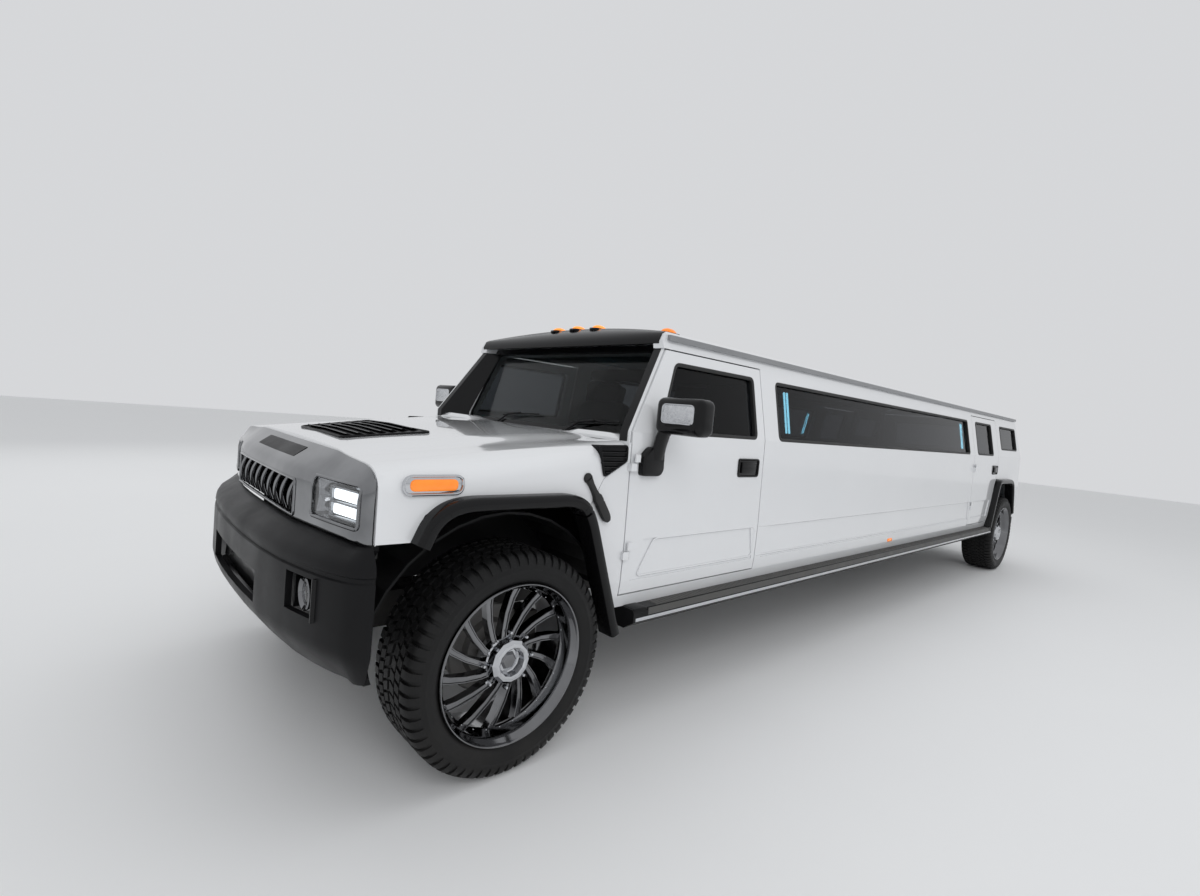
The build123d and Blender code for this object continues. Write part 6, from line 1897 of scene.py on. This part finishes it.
def fit_lounge():
    """The partition's padded panels and the bar with its battens and top."""
    pads = bmesh.new()
    x = ahead(PARTITION_X)
    foot = low("partition").z
    place = (x, 0.0, (foot + PARTITION_RAIL) / 2)
    cushion(pads, place, (0.048, 1.72, PARTITION_RAIL - foot), THREE_SEAMS, 1)
    cushion(pads, (x, 0.0, 1.77), (0.046, 1.5, 0.1), THREE_SEAMS, 1)
    for _, side in SIDES:
        cushion(pads, (x, side * 0.6, 1.54), (0.046, 0.38, 0.37), (0.0,), 1)
    made = finished("partition_pads", pads, BLACK_LEATHER, "root", 60.0, ("partition",))
    bar = bmesh.new()
    front_x = ahead(-1.98)
    back_x = behind(1.54)
    mid_x = (front_x + back_x) / 2
    length = front_x - back_x
    foot = low("bar_counter").z
    block(bar, (mid_x, 0.73, (foot + BAR_TOP + 0.002) / 2), (length, 0.276, BAR_TOP - foot), 0.006, 2)
    block(bar, (mid_x, 0.72, 1.14), (length + 0.018, 0.318, 0.038), 0.014, 4)
    finished("bar_carcass", bar, BAR_WOOD, "root", 35.0, ("bar_counter",))
    batten = bmesh.new()
    block(batten, (back_x + BATTEN_INSET, 0.59, (foot + 1.1) / 2), (0.03, 0.01, 0.96 - foot), 0.003, 1)
    step = Vector(((length - 2 * BATTEN_INSET) / (BATTENS - 1), 0.0, 0.0))
    grown("bar_battens", batten, ROW_OF_COPIES, {"Copies": BATTENS, "Step": step}, BAR_WOOD, "root")


# Small amber lamps low on the sides
SIDE_LAMP_X = -3.81
SIDE_LAMP_Z = 0.632


def fit_side_lamps():
    """One amber lamp on each side, above the step."""
    shape = bmesh.new()
    for _, side in SIDES:
        place = side_frame(side, ahead(SIDE_LAMP_X), 0.95, SIDE_LAMP_Z)
        plate(shape, oblong(0.045, 0.014, 0.013), 0.018, place, 0.005, 3)
    finished("side_lamp_lenses", shape, AMBER_GLOW, "root", 45.0)


# Every piece in turn
fit_tyres()
fit_rims()
fit_press_lines()
fit_cabin_lights()
fit_rear()
fit_lounge()
fit_side_lamps()
fit_hood()
fit_vents()
fit_flares()
fit_nose()
fit_headlamps()
fit_grille()
fit_markers()
fit_roof_lamps()
fit_bumper()
fit_mirrors()
fit_handles()
fit_latches()
fit_screen_trim()
fit_cowl_panel()
fit_seals()
fit_steps()
fit_seats()


# Floor and light
FLOOR_SPAN = 60.0


def lay_floor():
    """A pale studio floor."""
    shape = bmesh.new()
    bmesh.ops.create_grid(shape, x_segments=1, y_segments=1, size=FLOOR_SPAN / 2)
    mesh = bpy.data.meshes.new("studio_floor")
    shape.to_mesh(mesh)
    shape.free()
    mesh.materials.append(finish(
        "studio_floor", (0.86, 0.865, 0.875), (0.89, 0.895, 0.9), (0.55, 0.7), grain=120.0, bump=0.05,
        drift=0.6,
    ))
    floor = placed("studio_floor", mesh)


def light_studio():
    """Soft light from every side and three large lamps overhead."""
    world = bpy.data.worlds.new("studio")
    bpy.context.scene.world = world
    world.use_nodes = True
    tree = world.node_tree
    tree.nodes.clear()
    path = add_node(tree, "ShaderNodeLightPath")
    seen = add_node(tree, "ShaderNodeMath", operation="MAXIMUM")
    shown = add_node(tree, "ShaderNodeMath", operation="MAXIMUM")
    soft = add_node(tree, "ShaderNodeBackground", ins={"Color": (0.97, 0.985, 1.0, 1.0), "Strength": 0.62})
    pale = add_node(tree, "ShaderNodeBackground", ins={"Color": (0.8, 0.81, 0.83, 1.0), "Strength": 0.84})
    pick = add_node(tree, "ShaderNodeMixShader")
    out = add_node(tree, "ShaderNodeOutputWorld")
    join(tree, [
        (path, "Is Camera Ray", seen, 0),
        (path, "Is Glossy Ray", seen, 1),
        (seen, 0, shown, 0),
        (path, "Is Transmission Ray", shown, 1),
        (shown, 0, pick, 0),
        (soft, 0, pick, 1),
        (pale, 0, pick, 2),
        (pick, 0, out, 0),
    ])
    for name, place, size, power in (
        ("key_lamp", (7.0, 9.0, 7.5), 6.0, 300.0),
        ("fill_lamp", (5.0, -9.0, 6.0), 6.0, 90.0),
        ("top_lamp", (-1.0, 1.0, 8.0), 9.0, 120.0),
    ):
        lamp = bpy.data.lights.new(name, "AREA")
        lamp.shape = "SQUARE"
        lamp.size = size
        lamp.energy = power
        holder = placed(name, lamp)
        holder.location = place
        holder.visible_glossy = False
        aim = Vector((1.0, 0.0, 0.8)) - Vector(place)
        holder.rotation_euler = aim.to_track_quat("-Z", "Y").to_euler()


bpy.context.scene.view_settings.view_transform = "Standard"
place_camera()
lay_floor()
light_studio()
